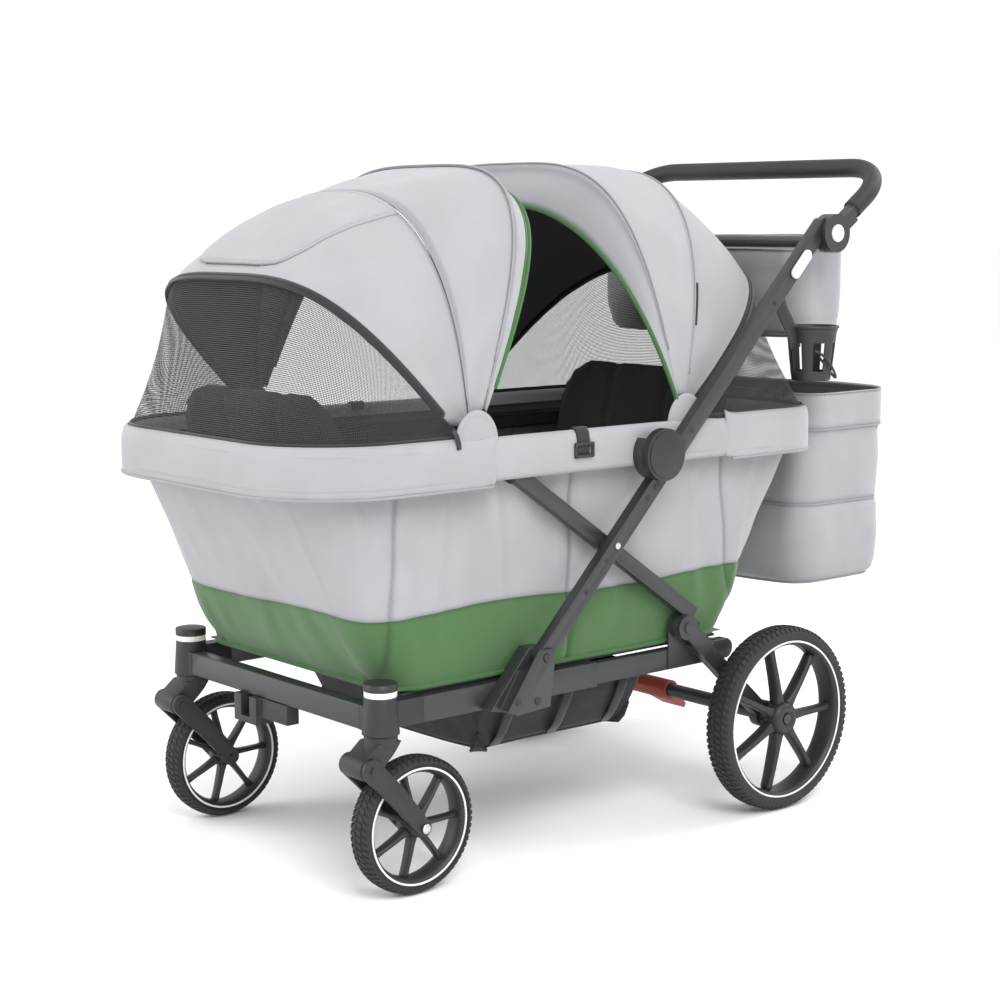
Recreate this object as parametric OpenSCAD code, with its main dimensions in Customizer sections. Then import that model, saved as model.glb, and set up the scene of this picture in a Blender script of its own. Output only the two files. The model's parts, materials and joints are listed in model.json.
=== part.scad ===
// Two-seat folding pull wagon with twin canopies, drawn in millimetres.
// The front of the wagon faces -Y, the push handle is at +Y and the left side is at +X.

/* [Overall] */
// Distance between the front and rear wheel axles
wheelbase = 714; // [660:1:780]
// Half the outside width of the lower frame rails
rail_half = 262; // [250:0.5:270]
// Height of the top of the lower frame rails above the ground
rail_top = 288; // [280:0.5:300]
// Height of the middle of the canopy pivots
pivot_z = 640; // [630:1:680]

/* [Front wheels] */
// Radius of a front wheel over the tyre
caster_r = 101; // [85:0.5:106]
// Width of a front tyre
caster_w = 40; // [30:0.5:44]
// Half the distance between the two front wheels
caster_x = 250; // [240:0.5:258]
// How far a front axle trails its swivel axis
caster_trail = 55; // [40:1:62]
// Radius of the front axle bolts and suspension pins
bolt_r = 5; // [4:0.1:6]

/* [Rear wheels] */
// Radius of a rear wheel over the tyre
rear_r = 151.5; // [126:0.5:165]
// Width of a rear tyre
rear_w = 46; // [36:0.5:48]
// Half the distance between the two rear wheels
rear_x = 307.5; // [306:0.5:320]
// Radius of the rear axle tube
axle_r = 12; // [10:0.1:14]
// Radius of the stub that carries each rear wheel
stub_r = 8; // [6:0.1:9]
// Number of spokes in every wheel
spokes = 7; // [5:1:9]
// Holes in the brake ring of each rear wheel
brake_holes = 14; // [8:2:16]

/* [Lower frame] */
// Wall of the rail sleeves
sleeve_wall = 1.8; // [1.5:0.1:3]
// Width of the rail sleeves
sleeve_w = 24; // [22:0.5:28]
// Height of the rail sleeves
sleeve_h = 38; // [32:0.5:42]
// Y position of the front end of the sleeves
sleeve_y0 = 13; // [5:1:30]
// Y position of the open rear end of the sleeves
sleeve_y1 = 350; // [340:1:400]
// Y position of the rear end of the sliding rails
rail_y1 = 655; // [640:1:665]

/* [Folding frame] */
// Y position of the arm pivot on the lower frame
arm_y = 205; // [195:1:215]
// Height of the arm pivot
arm_z = 324; // [318:1:330]
// Angle of the arms above the ground
arm_angle = 46; // [42:0.5:50]
// Width of the arm, leg and handle tubes seen from the side
tube_w = 25; // [20:0.5:28]
// Thickness of the arm and handle tubes across the wagon
tube_t = 18; // [14:0.5:20]
// Distance along an arm from its pivot to the crossing rivet
cross_d = 208; // [200:1:216]
// Slope of the legs below the horizontal
leg_angle = 34.6; // [33:0.1:36]
// Length of a leg from the crossing rivet up to the top rail
leg_up = 208; // [200:1:212]
// Distance along an arm from its pivot to the fold hub
hub_d = 364; // [350:1:380]
// How far the fold hub sits above the middle of the arm
hub_offset = 28; // [25:0.5:31]
// Radius of the fold hub
hub_r = 40; // [36:0.5:42]
// Length of the whole side tube from the arm pivot to its top
side_len = 868; // [850:1:890]

/* [Tub] */
// Y position of the front of the rim
rim_y0 = -203; // [-215:1:-195]
// Y position of the back of the rim
rim_y1 = 848; // [830:1:850]
// Half the outside width of the rim band
rim_half = 285; // [284:0.5:286]
// Height of the rim band
rim_h = 58; // [50:1:62]
// Thickness of the padded fabric walls
fabric_t = 4; // [3:0.1:5]
// Height of the join between the lower and the upper fabric wall
split_z = 512; // [500:1:520]
// Height of the seat cushions
cushion_h = 50; // [40:1:60]
// Length of the seat backs
back_len = 365; // [330:1:380]

/* [Canopies] */
// Y position of the front canopy pivots
front_pivot_y = 93; // [85:1:100]
// Y position of the rear canopy pivots
rear_pivot_y = 517; // [510:1:525]
// Radius of the bow tubes
bow_r = 3.5; // [3:0.1:3.7]
// Corner radius of the bows and the canopy panels
bow_corner = 150; // [120:1:170]
// Thickness of the canopy fabric panels
canopy_t = 2; // [1.5:0.1:2.5]
// Radius of the canopy pivot pins
hinge_pin_r = 6; // [5:0.1:7]

/* [Handle] */
// Radius of the handlebar tube
bar_r = 12; // [10:0.5:13]
// Radius over the handlebar grip
grip_r = 16; // [15:0.5:18]
// Corner radius of the handlebar
bar_bend = 90; // [70:1:110]
// Slope of the handlebar above the horizontal
bar_angle = 35; // [20:1:50]
// Length of the handlebar from its hub to the cross grip
bar_len = 190; // [180:1:210]
// Inside radius of the cup holder
cup_r = 38; // [35:0.5:39]
// Depth of the cup holder
cup_h = 85; // [70:1:95]

/* [Bags] */
// Half the width of the rear storage bag
bag_half = 230; // [210:1:240]
// Length of the rear storage bag
bag_len = 227; // [200:1:250]
// Height of the rear storage bag
bag_h = 320; // [280:1:330]
// Depth of the basket under the floor
basket_h = 80; // [60:1:85]

/* [Fits] */
// Gap between a turning shaft and its hole, on the radius
run_gap = 0.05; // [0.02:0.01:0.1]
// Gap between parts that pass each other
pass_gap = 0.5; // [0.4:0.1:1]

/* [Hidden] */
$fn = 64;

black = "#3c3e41";
pale_grey = "#c8c8cd";
green = "#587f55";
cream = "#eeece2";
dark_fabric = "#222326";

// The wagon is centred front to back between the front skirt and the rear bag.
skirt_out = 8;
bag_y0 = rim_y1 + 10;
bag_y1 = bag_y0 + bag_len;
mid_y = (rim_y0 - skirt_out + bag_y1) / 2;

// Lower frame
rail_mid_x = rail_half - sleeve_w / 2;
rail_z0 = rail_top - sleeve_h;
slide_w = sleeve_w - 2 * sleeve_wall - 2 * pass_gap;
slide_h = sleeve_h - 2 * sleeve_wall - 2 * pass_gap;
slide_y0 = sleeve_y1 - 150;
housing_z0 = rail_z0 - 7;
housing_z1 = rail_top + 9;
housing_r = 27;
stem_r = 9;
head_top = housing_z0 - 1;

// Suspension pivot, from the front axle
susp_y = -90.5;
susp_z = 99.7;
plate_x0 = caster_w / 2 + 2.5;
plate_t = 7.5;

// Folding frame
tube_x0 = rim_half + 1.5;
leg_x0 = rail_half + 1;
leg_t = tube_x0 - leg_x0 - 6.5;
cross_y = arm_y + cross_d * cos(arm_angle);
cross_z = arm_z + cross_d * sin(arm_angle);
knee_d = 229.7;
knee_drop = 25.7;
knee_y = cross_y + knee_d * cos(leg_angle) - knee_drop * sin(leg_angle);
knee_z = cross_z - knee_d * sin(leg_angle) - knee_drop * cos(leg_angle);
knee_r = 20;
pin_r = 6;
hub_y = arm_y + hub_d * cos(arm_angle) - hub_offset * sin(arm_angle);
hub_z = arm_z + hub_d * sin(arm_angle) + hub_offset * cos(arm_angle);
hub_x1 = tube_x0 + tube_t + 14;

// Tub and rim
rim_top = pivot_z + 10;
rim_z0 = rim_top - rim_h;
shelf_z0 = rim_top - 34;
top_rail_z1 = shelf_z0 - 4;
top_rail_h = 20;
tub_z0 = rail_top + 4;
tub_top = top_rail_z1 - top_rail_h - 2;
tub_y0 = -25;
tub_y1 = 645;
tub_half = 245;
wall_step = fabric_t + 1;

// Canopies: angle of each bow from the vertical, positive towards the rear
front_end_a = -44.5;
front_mid_a = -4.4;
front_panel_a = 10;
front_hem_a = 18.3;
front_edge_a = 25;
rear_end_a = 47.5;
rear_mid_a = 10;
rear_panel_a = -8;
rear_hem_a = -17;
rear_edge_a = -23;
front_end_r = 330;
front_mid_r = 354;
rear_end_r = 350;
rear_mid_r = 376;
hem_r = 396;
end_bow_x = rail_half - 7;
mid_bow_x = end_bow_x + 2 * bow_r + canopy_t + 2 * pass_gap;
hem_bow_x = mid_bow_x + 2 * bow_r + canopy_t + 2 * pass_gap;
lug_r = 13;
canopy_low = 40;

// Handle
handle_hub_y = arm_y + (side_len + 6) * cos(arm_angle) + 24 * sin(arm_angle);
handle_hub_z = arm_z + (side_len + 6) * sin(arm_angle) - 24 * cos(arm_angle);
handle_hub_r = 31;
bar_x = tube_x0 + 10;
lug_x0 = tube_x0 + 14;
lug_x1 = lug_x0 + 12;
cup_x = rail_half + 23;
cup_y = handle_hub_y - 26;
cup_z0 = handle_hub_z - 240;
console_y0 = rim_y1 - 26;

module place() translate([0, -mid_y, 0]) children();
module both() for (side = [0, 1]) mirror([side, 0, 0]) children();
module on_side(side) mirror([side < 0 ? 1 : 0, 0, 0]) children();
// A cylinder along X, from x0 to x1.
module rod(x0, x1, y, z, r) translate([x0, y, z]) rotate([0, 90, 0]) cylinder(r = r, h = x1 - x0);
// A flat shape given in (y, z), thickened along X.
module slab(x0, x1) translate([x0, 0, 0]) rotate([90, 0, 90]) linear_extrude(x1 - x0) children();
module block(x0, x1, y0, y1, z0, z1) translate([x0, y0, z0]) cube([x1 - x0, y1 - y0, z1 - z0]);
// A frame whose first axis runs along the arm and whose second axis is across it.
module along_arm() translate([arm_y, arm_z]) rotate(arm_angle) children();
module along_leg() translate([cross_y, cross_z]) rotate(-leg_angle) children();

// Plan outline with different corner radii at the front and the rear.
module outline(half, y0, y1, front_r, rear_r) {
  translate([-half, y0 + front_r]) square([2 * half, y1 - y0 - front_r - rear_r]);
  translate([front_r - half, y0]) square([2 * (half - front_r), front_r + 1]);
  translate([rear_r - half, y1 - rear_r - 1]) square([2 * (half - rear_r), rear_r + 1]);
  for (s = [-1, 1]) {
    translate([s * (half - front_r), y0 + front_r]) circle(front_r);
    translate([s * (half - rear_r), y1 - rear_r]) circle(rear_r);
  }
}
// The outline of the rim, drawn in by a distance.
module rim_outline(inset) {
  outline(rim_half - inset, rim_y0 + inset, rim_y1 - inset, max(150 - inset, 20), max(90 - inset, 20));
}
module rim_ring(inset, t, z0, z1) {
  translate([0, 0, z0]) linear_extrude(z1 - z0) difference() {
    rim_outline(inset);
    rim_outline(inset + t);
  }
}

// Tub section at a height, drawn in by a distance.
function tub_share(z) = (z - tub_z0) / (tub_top - tub_z0);
module tub_slice(z, inset) {
  s = tub_share(z);
  translate([0, 0, z]) linear_extrude(0.01)
    outline(tub_half + 13 * s - inset, tub_y0 - 153 * s + inset, tub_y1 + 177 * s - inset,
      50 + 60 * s - inset, 50 + 15 * s - inset, $fn = 32);
}
module tub_solid(z0, z1, inset) {
  hull() {
    tub_slice(z0, inset);
    tub_slice(z1, inset);
  }
}

// ---- Lower frame ----
module rail_sleeves() color(black) place() both() difference() {
  block(rail_half - sleeve_w, rail_half, sleeve_y0, sleeve_y1, rail_z0, rail_top);
  block(rail_half - sleeve_w + sleeve_wall, rail_half - sleeve_wall, slide_y0 - 20, sleeve_y1 + 1,
    rail_z0 + sleeve_wall, rail_top - sleeve_wall);
}

module cross_tubes() color(black) place() {
  block(28 - caster_x, caster_x - 28, -72, -48, rail_z0 - 4, rail_top - 6);
  for (y = [100, sleeve_y1 - 25])
    block(sleeve_w - rail_half, rail_half - sleeve_w, y, y + 20, rail_z0 + 8, rail_top - 6);
}

module caster_housings() color(black) place() both() difference() {
  union() {
    translate([caster_x, -caster_trail, housing_z0])
      cylinder(r1 = housing_r, r2 = housing_r - 3.5, h = housing_z1 - housing_z0);
    block(rail_half - sleeve_w, rail_half, -caster_trail, sleeve_y0, rail_z0, rail_top);
    block(caster_x - 28, caster_x, -72, -48, rail_z0 - 4, rail_top - 6);
  }
  translate([caster_x, -caster_trail, housing_z0 - 1])
    cylinder(r = stem_r + run_gap, h = housing_z1 - housing_z0 - 4);
}

module housing_trim() color(cream) place() both()
  translate([caster_x, -caster_trail, housing_z1]) {
    cylinder(r = housing_r - 3.4, h = 15);
    translate([0, 0, 15]) cylinder(r = housing_r - 4.5, h = 4);
  }

module arm_brackets() color(black) place() both() {
  slab(rail_half, tube_x0 - pass_gap) polygon([[118, rail_z0 + 3], [150, rail_z0 - 4], [212, rail_z0],
    [arm_y + 16, arm_z - 6], [arm_y + 13, arm_z + 12], [arm_y - 14, arm_z + 13]]);
  slab(tube_x0 - pass_gap, tube_x0 + tube_t + pass_gap)
    polygon([[135, rail_z0 + 3], [150, rail_z0 - 4], [212, rail_z0], [214, arm_z - 18], [170, arm_z - 18]]);
  difference() {
    slab(tube_x0 + tube_t + pass_gap, tube_x0 + tube_t + 4.5)
      polygon([[130, rail_z0 + 3], [150, rail_z0 - 4], [212, rail_z0],
        [arm_y + 16, arm_z - 6], [arm_y + 13, arm_z + 12], [arm_y - 14, arm_z + 13]]);
    rod(tube_x0, hub_x1, arm_y, arm_z, pin_r + pass_gap);
  }
  // The pivot pin of the arm.
  rod(tube_x0 - pass_gap, tube_x0 + tube_t + 6, arm_y, arm_z, pin_r);
}

module floor_board() color(dark_fabric) place()
  block(4 - tub_half, tub_half - 4, tub_y0 + 15, tub_y1 - 15, rail_top, tub_z0);

module tub_lower() color(green) place() difference() {
  tub_solid(tub_z0, split_z - pass_gap, wall_step);
  tub_solid(tub_z0 + fabric_t, split_z + 1, wall_step + fabric_t);
}

seat_z = tub_z0 + fabric_t + 1;
module seat_cushions() color(dark_fabric) place() {
  for (y0 = [tub_y0 + 15, tub_y1 - 275])
    translate([0, 0, seat_z]) linear_extrude(cushion_h) outline(222, y0, y0 + 260, 30, 30);
}

back_z = seat_z + cushion_h + 18;
back_lean = 13.5;
back_rod_r = 6;
module seat_back(y, lean) {
  // The rod in the lower hem turns in loops on the tub's sides.
  rod(-206, 206, y, back_z, back_rod_r);
  translate([0, y, back_z]) rotate([lean, 0, 0]) translate([0, 14, 0]) rotate([90, 0, 0])
    linear_extrude(28) union() {
      translate([-200, 0]) square([400, back_len - 80]);
      translate([-120, back_len - 90]) square([240, 90]);
      for (s = [-1, 1]) translate([s * 120, back_len - 80]) circle(80);
    }
}
module front_seat_back() color(dark_fabric) place() seat_back(tub_y0 + 12, back_lean);
module rear_seat_back() color(dark_fabric) place() seat_back(tub_y1 - 17, -back_lean);

basket_z1 = rail_z0 + 4;
basket_z0 = basket_z1 - basket_h - 8;
module under_basket() color(dark_fabric) place() difference() {
  slab(-228, 228) polygon([[135, basket_z1], [180, basket_z0], [475, basket_z0], [505, basket_z1]]);
  slab(-224, 224) polygon([[140, basket_z1 + 1], [183.5, basket_z0 + fabric_t],
    [472.5, basket_z0 + fabric_t], [500, basket_z1 + 1]]);
}

module hitch_socket() color(black) place() {
  difference() {
    block(-85, -25, -82, -50, rail_z0 - 46, rail_z0 - 4);
    block(-66, -44, -90, -62, rail_z0 - 36, rail_z0 - 3);
  }
  block(-25, 45, -74, -52, rail_z0 - 34, rail_z0 - 4);
}

// ---- Sliding rear carriage ----
module rear_rails() color(black) place() both()
  slab(rail_mid_x - slide_w / 2, rail_mid_x + slide_w / 2) union() {
    translate([slide_y0, rail_z0 + sleeve_wall + pass_gap])
      square([rail_y1 - slide_y0 - slide_h / 2, slide_h]);
    translate([rail_y1 - slide_h / 2, rail_z0 + sleeve_wall + pass_gap + slide_h / 2])
      circle(slide_h / 2);
  }

module rear_cross_tube() color(black) place()
  block(slide_w / 2 - rail_mid_x, rail_mid_x - slide_w / 2, rail_y1 - 32, rail_y1 - 10,
    rail_z0 + 6, rail_top - 8);

// Direction from the knee down to the rear axle
knee_run = [wheelbase - knee_y, rear_r - knee_z];
knee_len = norm(knee_run);
knee_dir = atan2(knee_run[1], knee_run[0]);
module along_knee() translate([knee_y, knee_z]) rotate(knee_dir) children();
module knuckles() color(black) place() both() difference() {
  union() {
    slab(leg_x0, leg_x0 + leg_t) along_knee() {
      translate([knee_r + 16, -13]) square([knee_len - knee_r - 16, 26]);
      translate([knee_len, 0]) circle(22);
    }
    slab(leg_x0 + leg_t, leg_x0 + leg_t + pass_gap) along_knee()
      translate([knee_r + 16, -13]) square([30, 26]);
    slab(leg_x0 + leg_t + pass_gap, leg_x0 + leg_t + 6) along_knee() {
      circle(knee_r);
      translate([0, -14]) square([knee_r + 46, 28]);
    }
    slab(rail_mid_x + slide_w / 2, leg_x0 - pass_gap) union() {
      along_knee() {
        circle(knee_r);
        translate([0, -14]) square([knee_r + 46, 28]);
      }
      translate([knee_y - 20, rail_z0 + 6]) square([70, knee_z - rail_z0 - 6]);
    }
    slab(leg_x0 - pass_gap, leg_x0) along_knee() translate([knee_r + 16, -13]) square([30, 26]);
    rod(leg_x0 + leg_t + 6, leg_x0 + leg_t + 9, knee_y, knee_z, 9);
  }
  rod(200, rear_x, wheelbase, rear_r, axle_r);
  rod(leg_x0 - 1, leg_x0 + leg_t + 1, wheelbase + 26 * 0.6, rear_r - 26 * 0.8, 4.05);
}

module rear_axle() color("dimgray") place() {
  rod(-leg_x0 - leg_t, leg_x0 + leg_t, wheelbase, rear_r, axle_r);
  both() rod(leg_x0, rear_x + rear_w / 2 - 2, wheelbase, rear_r, stub_r);
}

module brake_pedal() color("#a8402f") place() difference() {
  union() {
    rod(-22, 62, wheelbase, rear_r, axle_r + 5);
    slab(-22, -10) polygon([[wheelbase - 16, rear_r], [wheelbase - 30, rear_r + 40],
      [wheelbase - 18, rear_r + 42], [wheelbase + 8, rear_r + 10]]);
    slab(0, 52) polygon([[wheelbase, rear_r - 16], [wheelbase + 44, rear_r - 40],
      [wheelbase + 48, rear_r - 33], [wheelbase + 10, rear_r + 10]]);
  }
  rod(-30, 70, wheelbase, rear_r, axle_r + run_gap);
}

brake_pin_y = wheelbase + 26 * 0.6;
brake_pin_z = rear_r - 26 * 0.8;
module brake_pin(side) color("silver") place() on_side(side) {
  rod(leg_x0 - 14, leg_x0 + leg_t + 0.2, brake_pin_y, brake_pin_z, 4);
  rod(leg_x0 - 20, leg_x0 - 12, brake_pin_y, brake_pin_z, 7);
}
module left_brake_pin() brake_pin(1);
module right_brake_pin() brake_pin(-1);

// ---- Wheels, centred at the origin with the axle along X ----
module wheel_tyre(r, w) color("#262626") {
  inner = r * 0.86;
  rotate([0, 90, 0]) rotate_extrude($fn = 96) union() {
    translate([inner, -w / 2 + 3]) square([r - inner - 6, w - 6]);
    polygon(concat([[inner, w / 2 - 3], [inner, 3 - w / 2]],
      [for (a = [-75:15:75]) [r - 8 + 8 * cos(a), w / 2 * sin(a)]]));
  }
}
module wheel_rim(r, w, hub_half, hub_r, bore_r, pin_circle) color(black) {
  outer = r * 0.86;
  difference() {
    union() {
      rotate([0, 90, 0]) rotate_extrude($fn = 96)
        translate([outer - 9, 6 - w / 2]) square([9, w - 12]);
      rod(-hub_half, hub_half, 0, 0, hub_r);
      for (k = [0:spokes - 1]) rotate([360 * k / spokes, 0, 0])
        slab(4 - w / 2, w / 2 - 8) polygon([[hub_r - 5, -7], [outer - 5, -11], [outer - 5, 11],
          [hub_r - 5, 7]]);
    }
    rod(-hub_half - 1, hub_half + 1, 0, 0, bore_r);
    if (pin_circle > 0) for (k = [0:brake_holes - 1]) rotate([360 * k / brake_holes - 53.13, 0, 0])
      rod(-hub_half - 1, -hub_half + 12, pin_circle, 0, 4.6);
  }
}

module at_rear_wheel(side) place() on_side(side) translate([rear_x, wheelbase, rear_r]) children();
module at_front_wheel(side) place() on_side(side) translate([caster_x, 0, caster_r]) children();
module rear_rim() wheel_rim(rear_r, rear_w, rear_w / 2 - 1, 36, stub_r + run_gap, 26);
module front_rim() wheel_rim(caster_r, caster_w, caster_w / 2 + 1.5, 20, bolt_r + run_gap, 0);
module left_rear_tyre() at_rear_wheel(1) wheel_tyre(rear_r, rear_w);
module right_rear_tyre() at_rear_wheel(-1) wheel_tyre(rear_r, rear_w);
module left_rear_rim() at_rear_wheel(1) rear_rim();
module right_rear_rim() at_rear_wheel(-1) rear_rim();
module left_front_tyre() at_front_wheel(1) wheel_tyre(caster_r, caster_w);
module right_front_tyre() at_front_wheel(-1) wheel_tyre(caster_r, caster_w);
module left_front_rim() at_front_wheel(1) front_rim();
module right_front_rim() at_front_wheel(-1) front_rim();

// ---- Casters ----
module fork_head(side) color(black) place() on_side(side) {
  top = head_top - caster_r;
  translate([caster_x, 0, caster_r]) difference() {
    union() {
      translate([0, -caster_trail, top - 10]) cylinder(r = stem_r, h = housing_z1 - head_top + 4);
      translate([0, -caster_trail, top - 14]) cylinder(r = housing_r - 3, h = 14);
      slab(-plate_x0 + pass_gap, plate_x0 - pass_gap) union() {
        polygon([[-caster_trail - 20, top - 8], [-caster_trail + 20, top - 8],
          [-caster_trail + 8, top - 24], [susp_y + 12, susp_z - 12], [susp_y - 15, susp_z + 8]]);
        translate([susp_y, susp_z]) circle(17);
      }
    }
    rod(-40, 40, susp_y, susp_z, bolt_r + run_gap);
  }
}
module fork_link(side) color(black) place() on_side(side) translate([caster_x, 0, caster_r]) {
  run = atan2(-susp_z, -susp_y);
  for (s = [-1, 1]) mirror([s < 0 ? 1 : 0, 0, 0]) slab(plate_x0, plate_x0 + plate_t) union() {
    translate([susp_y, susp_z]) circle(16);
    circle(12);
    translate([susp_y, susp_z]) rotate(run)
      polygon([[0, -16], [60, -13], [norm([susp_y, susp_z]), -12],
        [norm([susp_y, susp_z]), 12], [60, 17], [0, 16]]);
  }
  rod(-plate_x0 - plate_t - 3, plate_x0 + plate_t + 3, 0, 0, bolt_r);
  rod(-plate_x0 - plate_t - 3, plate_x0 + plate_t + 3, susp_y, susp_z, bolt_r);
}
module left_fork_head() fork_head(1);
module right_fork_head() fork_head(-1);
module left_fork_link() fork_link(1);
module right_fork_link() fork_link(-1);

// ---- Folding arms, hubs and legs ----
hub_boss_r = 14;
module arms() color(black) place() both() difference() {
  slab(tube_x0, tube_x0 + tube_t) along_arm() difference() {
    union() {
      circle(tube_w / 2);
      translate([0, -tube_w / 2]) square([hub_d - 2, tube_w]);
      translate([hub_d, hub_offset]) difference() {
        circle(hub_r);
        translate([-2, -hub_r - 1]) square([hub_r + 3, 2 * hub_r + 2]);
      }
    }
    translate([hub_d, hub_offset]) circle(hub_boss_r + pass_gap);
  }
  rod(tube_x0 - 1, tube_x0 + tube_t + 1, arm_y, arm_z, pin_r + run_gap);
  rod(tube_x0 - 1, tube_x0 + tube_t + 1, cross_y, cross_z, bolt_r);
}
module fold_hubs() color(black) place() both() {
  rod(tube_x0 + tube_t + pass_gap, hub_x1, hub_y, hub_z, hub_r);
  rod(tube_x0, tube_x0 + tube_t + 1, hub_y, hub_z, 8);
  rod(hub_x1, hub_x1 + 2, hub_y, hub_z, hub_r - 5);
  // A short web ties the outer hub plate to the arm.
  slab(tube_x0 + tube_t, tube_x0 + tube_t + 1) along_arm()
    translate([hub_d - 34, -8]) square([20, 16]);
}
module crossing_rivets() color("silver") place() both() {
  rod(leg_x0 - 0.4, tube_x0 + tube_t + 2, cross_y, cross_z, bolt_r);
}
module legs() color(black) place() both() difference() {
  slab(leg_x0, leg_x0 + leg_t) along_leg() {
    translate([-leg_up, 0]) circle(tube_w / 2 - 1);
    translate([-leg_up, 1 - tube_w / 2]) square([leg_up + knee_d + 6, tube_w - 2]);
    translate([knee_d, -knee_drop]) circle(knee_r);
    translate([knee_d - 17, -knee_drop]) square([34 - 11, knee_drop]);
  }
  rod(leg_x0 - 1, leg_x0 + leg_t + 1, cross_y, cross_z, bolt_r + run_gap);
}

// ---- Top frame ----
top_inset = rim_half - rail_half;
module top_rail() color(black) place() {
  rim_ring(top_inset, 12, top_rail_z1 - top_rail_h, top_rail_z1);
  // Lugs stand beside the tops of the legs.
  both() slab(leg_x0 - 4.5, leg_x0 - pass_gap)
    translate([cross_y - leg_up * cos(leg_angle), cross_z + leg_up * sin(leg_angle)]) circle(14);
}
module rim_band() color(pale_grey) place() {
  rim_ring(0, fabric_t, rim_z0, rim_top);
  rim_ring(fabric_t - 0.01, 36, shelf_z0, shelf_z0 + fabric_t);
}
module front_skirt() color(pale_grey) place()
  translate([0, 0, rim_z0 - 14]) linear_extrude(rim_h - 6) intersection() {
    difference() {
      rim_outline(-skirt_out);
      rim_outline(fabric_t - skirt_out);
    }
    translate([-400, rim_y0 - 50]) square([800, 125 - rim_y0 + 50]);
  }
module tub_upper() color(pale_grey) place() difference() {
  tub_solid(split_z, tub_top, 0);
  tub_solid(split_z - 1, tub_top + 1, fabric_t);
}

pivots = [front_pivot_y, rear_pivot_y];
module canopy_hinges() color(black) place() both() for (y = pivots) {
  rod(end_bow_x - bow_r - 6, rim_half - fabric_t - pass_gap, y, pivot_z, hinge_pin_r);
  rod(end_bow_x - bow_r - 6, end_bow_x - bow_r - 1, y, pivot_z, lug_r);
  block(end_bow_x - bow_r - 6, end_bow_x - bow_r - 1, y - 12, y + 12, shelf_z0 + fabric_t, pivot_z);
}

// One bow: round lugs at the pivots, straight legs, round corners and a straight top.
module bow(y, angle, r, half) translate([0, y, pivot_z]) rotate([-angle, 0, 0]) difference() {
  union() {
    both() {
      rod(half - bow_r + 0.5, half + bow_r - 0.5, 0, 0, lug_r);
      translate([half, 0, lug_r - 3]) cylinder(r = bow_r, h = r - bow_corner - lug_r + 3);
      translate([half - bow_corner, 0, r - bow_corner]) rotate([90, 0, 0])
        rotate_extrude(angle = 90) translate([bow_corner, 0]) circle(bow_r, $fn = 24);
    }
    rod(bow_corner - half, half - bow_corner, 0, r, bow_r);
  }
  rod(-half - 20, half + 20, 0, 0, hinge_pin_r + run_gap);
}
// One fabric panel: the bow's outline turned about the pivots between two angles.
module panel(y, a0, a1, r, half) translate([0, y, pivot_z]) rotate([0, 90, 0]) rotate([0, 0, 180 - a1])
  rotate_extrude(angle = a1 - a0) difference() {
    panel_shape(r, half, bow_corner);
    panel_shape(r - canopy_t, half - canopy_t, bow_corner - canopy_t);
    translate([-1, -half - 1]) square([canopy_low + 1, 2 * half + 2]);
  }
module panel_shape(r, half, corner) {
  translate([0, -half]) square([r - corner, 2 * half]);
  translate([0, corner - half]) square([r, 2 * (half - corner)]);
  for (s = [-1, 1]) translate([r - corner, s * (half - corner)]) circle(corner);
}

module end_bows() color(black) place() {
  bow(front_pivot_y, front_end_a, front_end_r, end_bow_x);
  bow(rear_pivot_y, rear_end_a, rear_end_r, end_bow_x);
}
module end_panels() color(pale_grey) place() {
  panel(front_pivot_y, front_end_a, front_mid_a, front_mid_r - bow_r - 4, mid_bow_x - bow_r - pass_gap);
  panel(rear_pivot_y, rear_mid_a, rear_end_a, rear_mid_r - bow_r - 4, mid_bow_x - bow_r - pass_gap);
}
module front_mid_bow() color(black) place()
  bow(front_pivot_y, front_mid_a, front_mid_r, mid_bow_x);
module rear_mid_bow() color(black) place()
  bow(rear_pivot_y, rear_mid_a, rear_mid_r, mid_bow_x);
module front_hem_bow() color(black) place()
  bow(front_pivot_y, front_hem_a, hem_r, hem_bow_x);
module rear_hem_bow() color(black) place()
  bow(rear_pivot_y, rear_hem_a, hem_r, hem_bow_x);
module front_mid_panel() color(pale_grey) place()
  panel(front_pivot_y, front_mid_a, front_panel_a, hem_r - bow_r - 4, hem_bow_x - bow_r - pass_gap);
module rear_mid_panel() color(pale_grey) place()
  panel(rear_pivot_y, rear_panel_a, rear_mid_a, hem_r - bow_r - 4, hem_bow_x - bow_r - pass_gap);
visor_r = hem_r + bow_r + canopy_t + 1;
visor_half = hem_bow_x + bow_r + pass_gap + canopy_t;
module front_visor() color(pale_grey) place()
  panel(front_pivot_y, front_panel_a, front_edge_a, visor_r, visor_half);
module rear_visor() color(pale_grey) place()
  panel(rear_pivot_y, rear_edge_a, rear_panel_a, visor_r, visor_half);

// Mesh end screens: side profile cut to the rim's outline with round top corners,
// hollow, open below and towards the canopy.
module screen_solid(inset, profile, top) intersection() {
  slab(-rim_half, rim_half) polygon(profile);
  translate([0, 0, rim_top - 60]) linear_extrude(500) rim_outline(inset);
  translate([0, 1500, 0]) rotate([90, 0, 0]) linear_extrude(3000)
    outline(rim_half - inset, screen_z0 - 40, top, 30, bow_corner);
}
screen_z0 = shelf_z0 + fabric_t + pass_gap;
screen_t = 3;
module end_screen(y, r, angle, base, out) {
  top = [y + (r - 8) * sin(angle), pivot_z + (r - 8) * cos(angle)];
  low = y + 60 * sin(angle);
  inset = fabric_t + 32;
  difference() {
    screen_solid(inset, [[low, screen_z0], [base, screen_z0], [top[0] + 8 * out, top[1]], top,
      [low, pivot_z + 60]], top[1]);
    screen_solid(inset + screen_t, [[low - 9 * out, screen_z0 - 1], [base - 24 * out, screen_z0 - 1],
      [top[0] + 2 * out, top[1] - 4], [top[0] - 9 * out, top[1] + 9], [low - 9 * out, pivot_z + 69]],
      top[1] - screen_t);
  }
}
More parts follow.
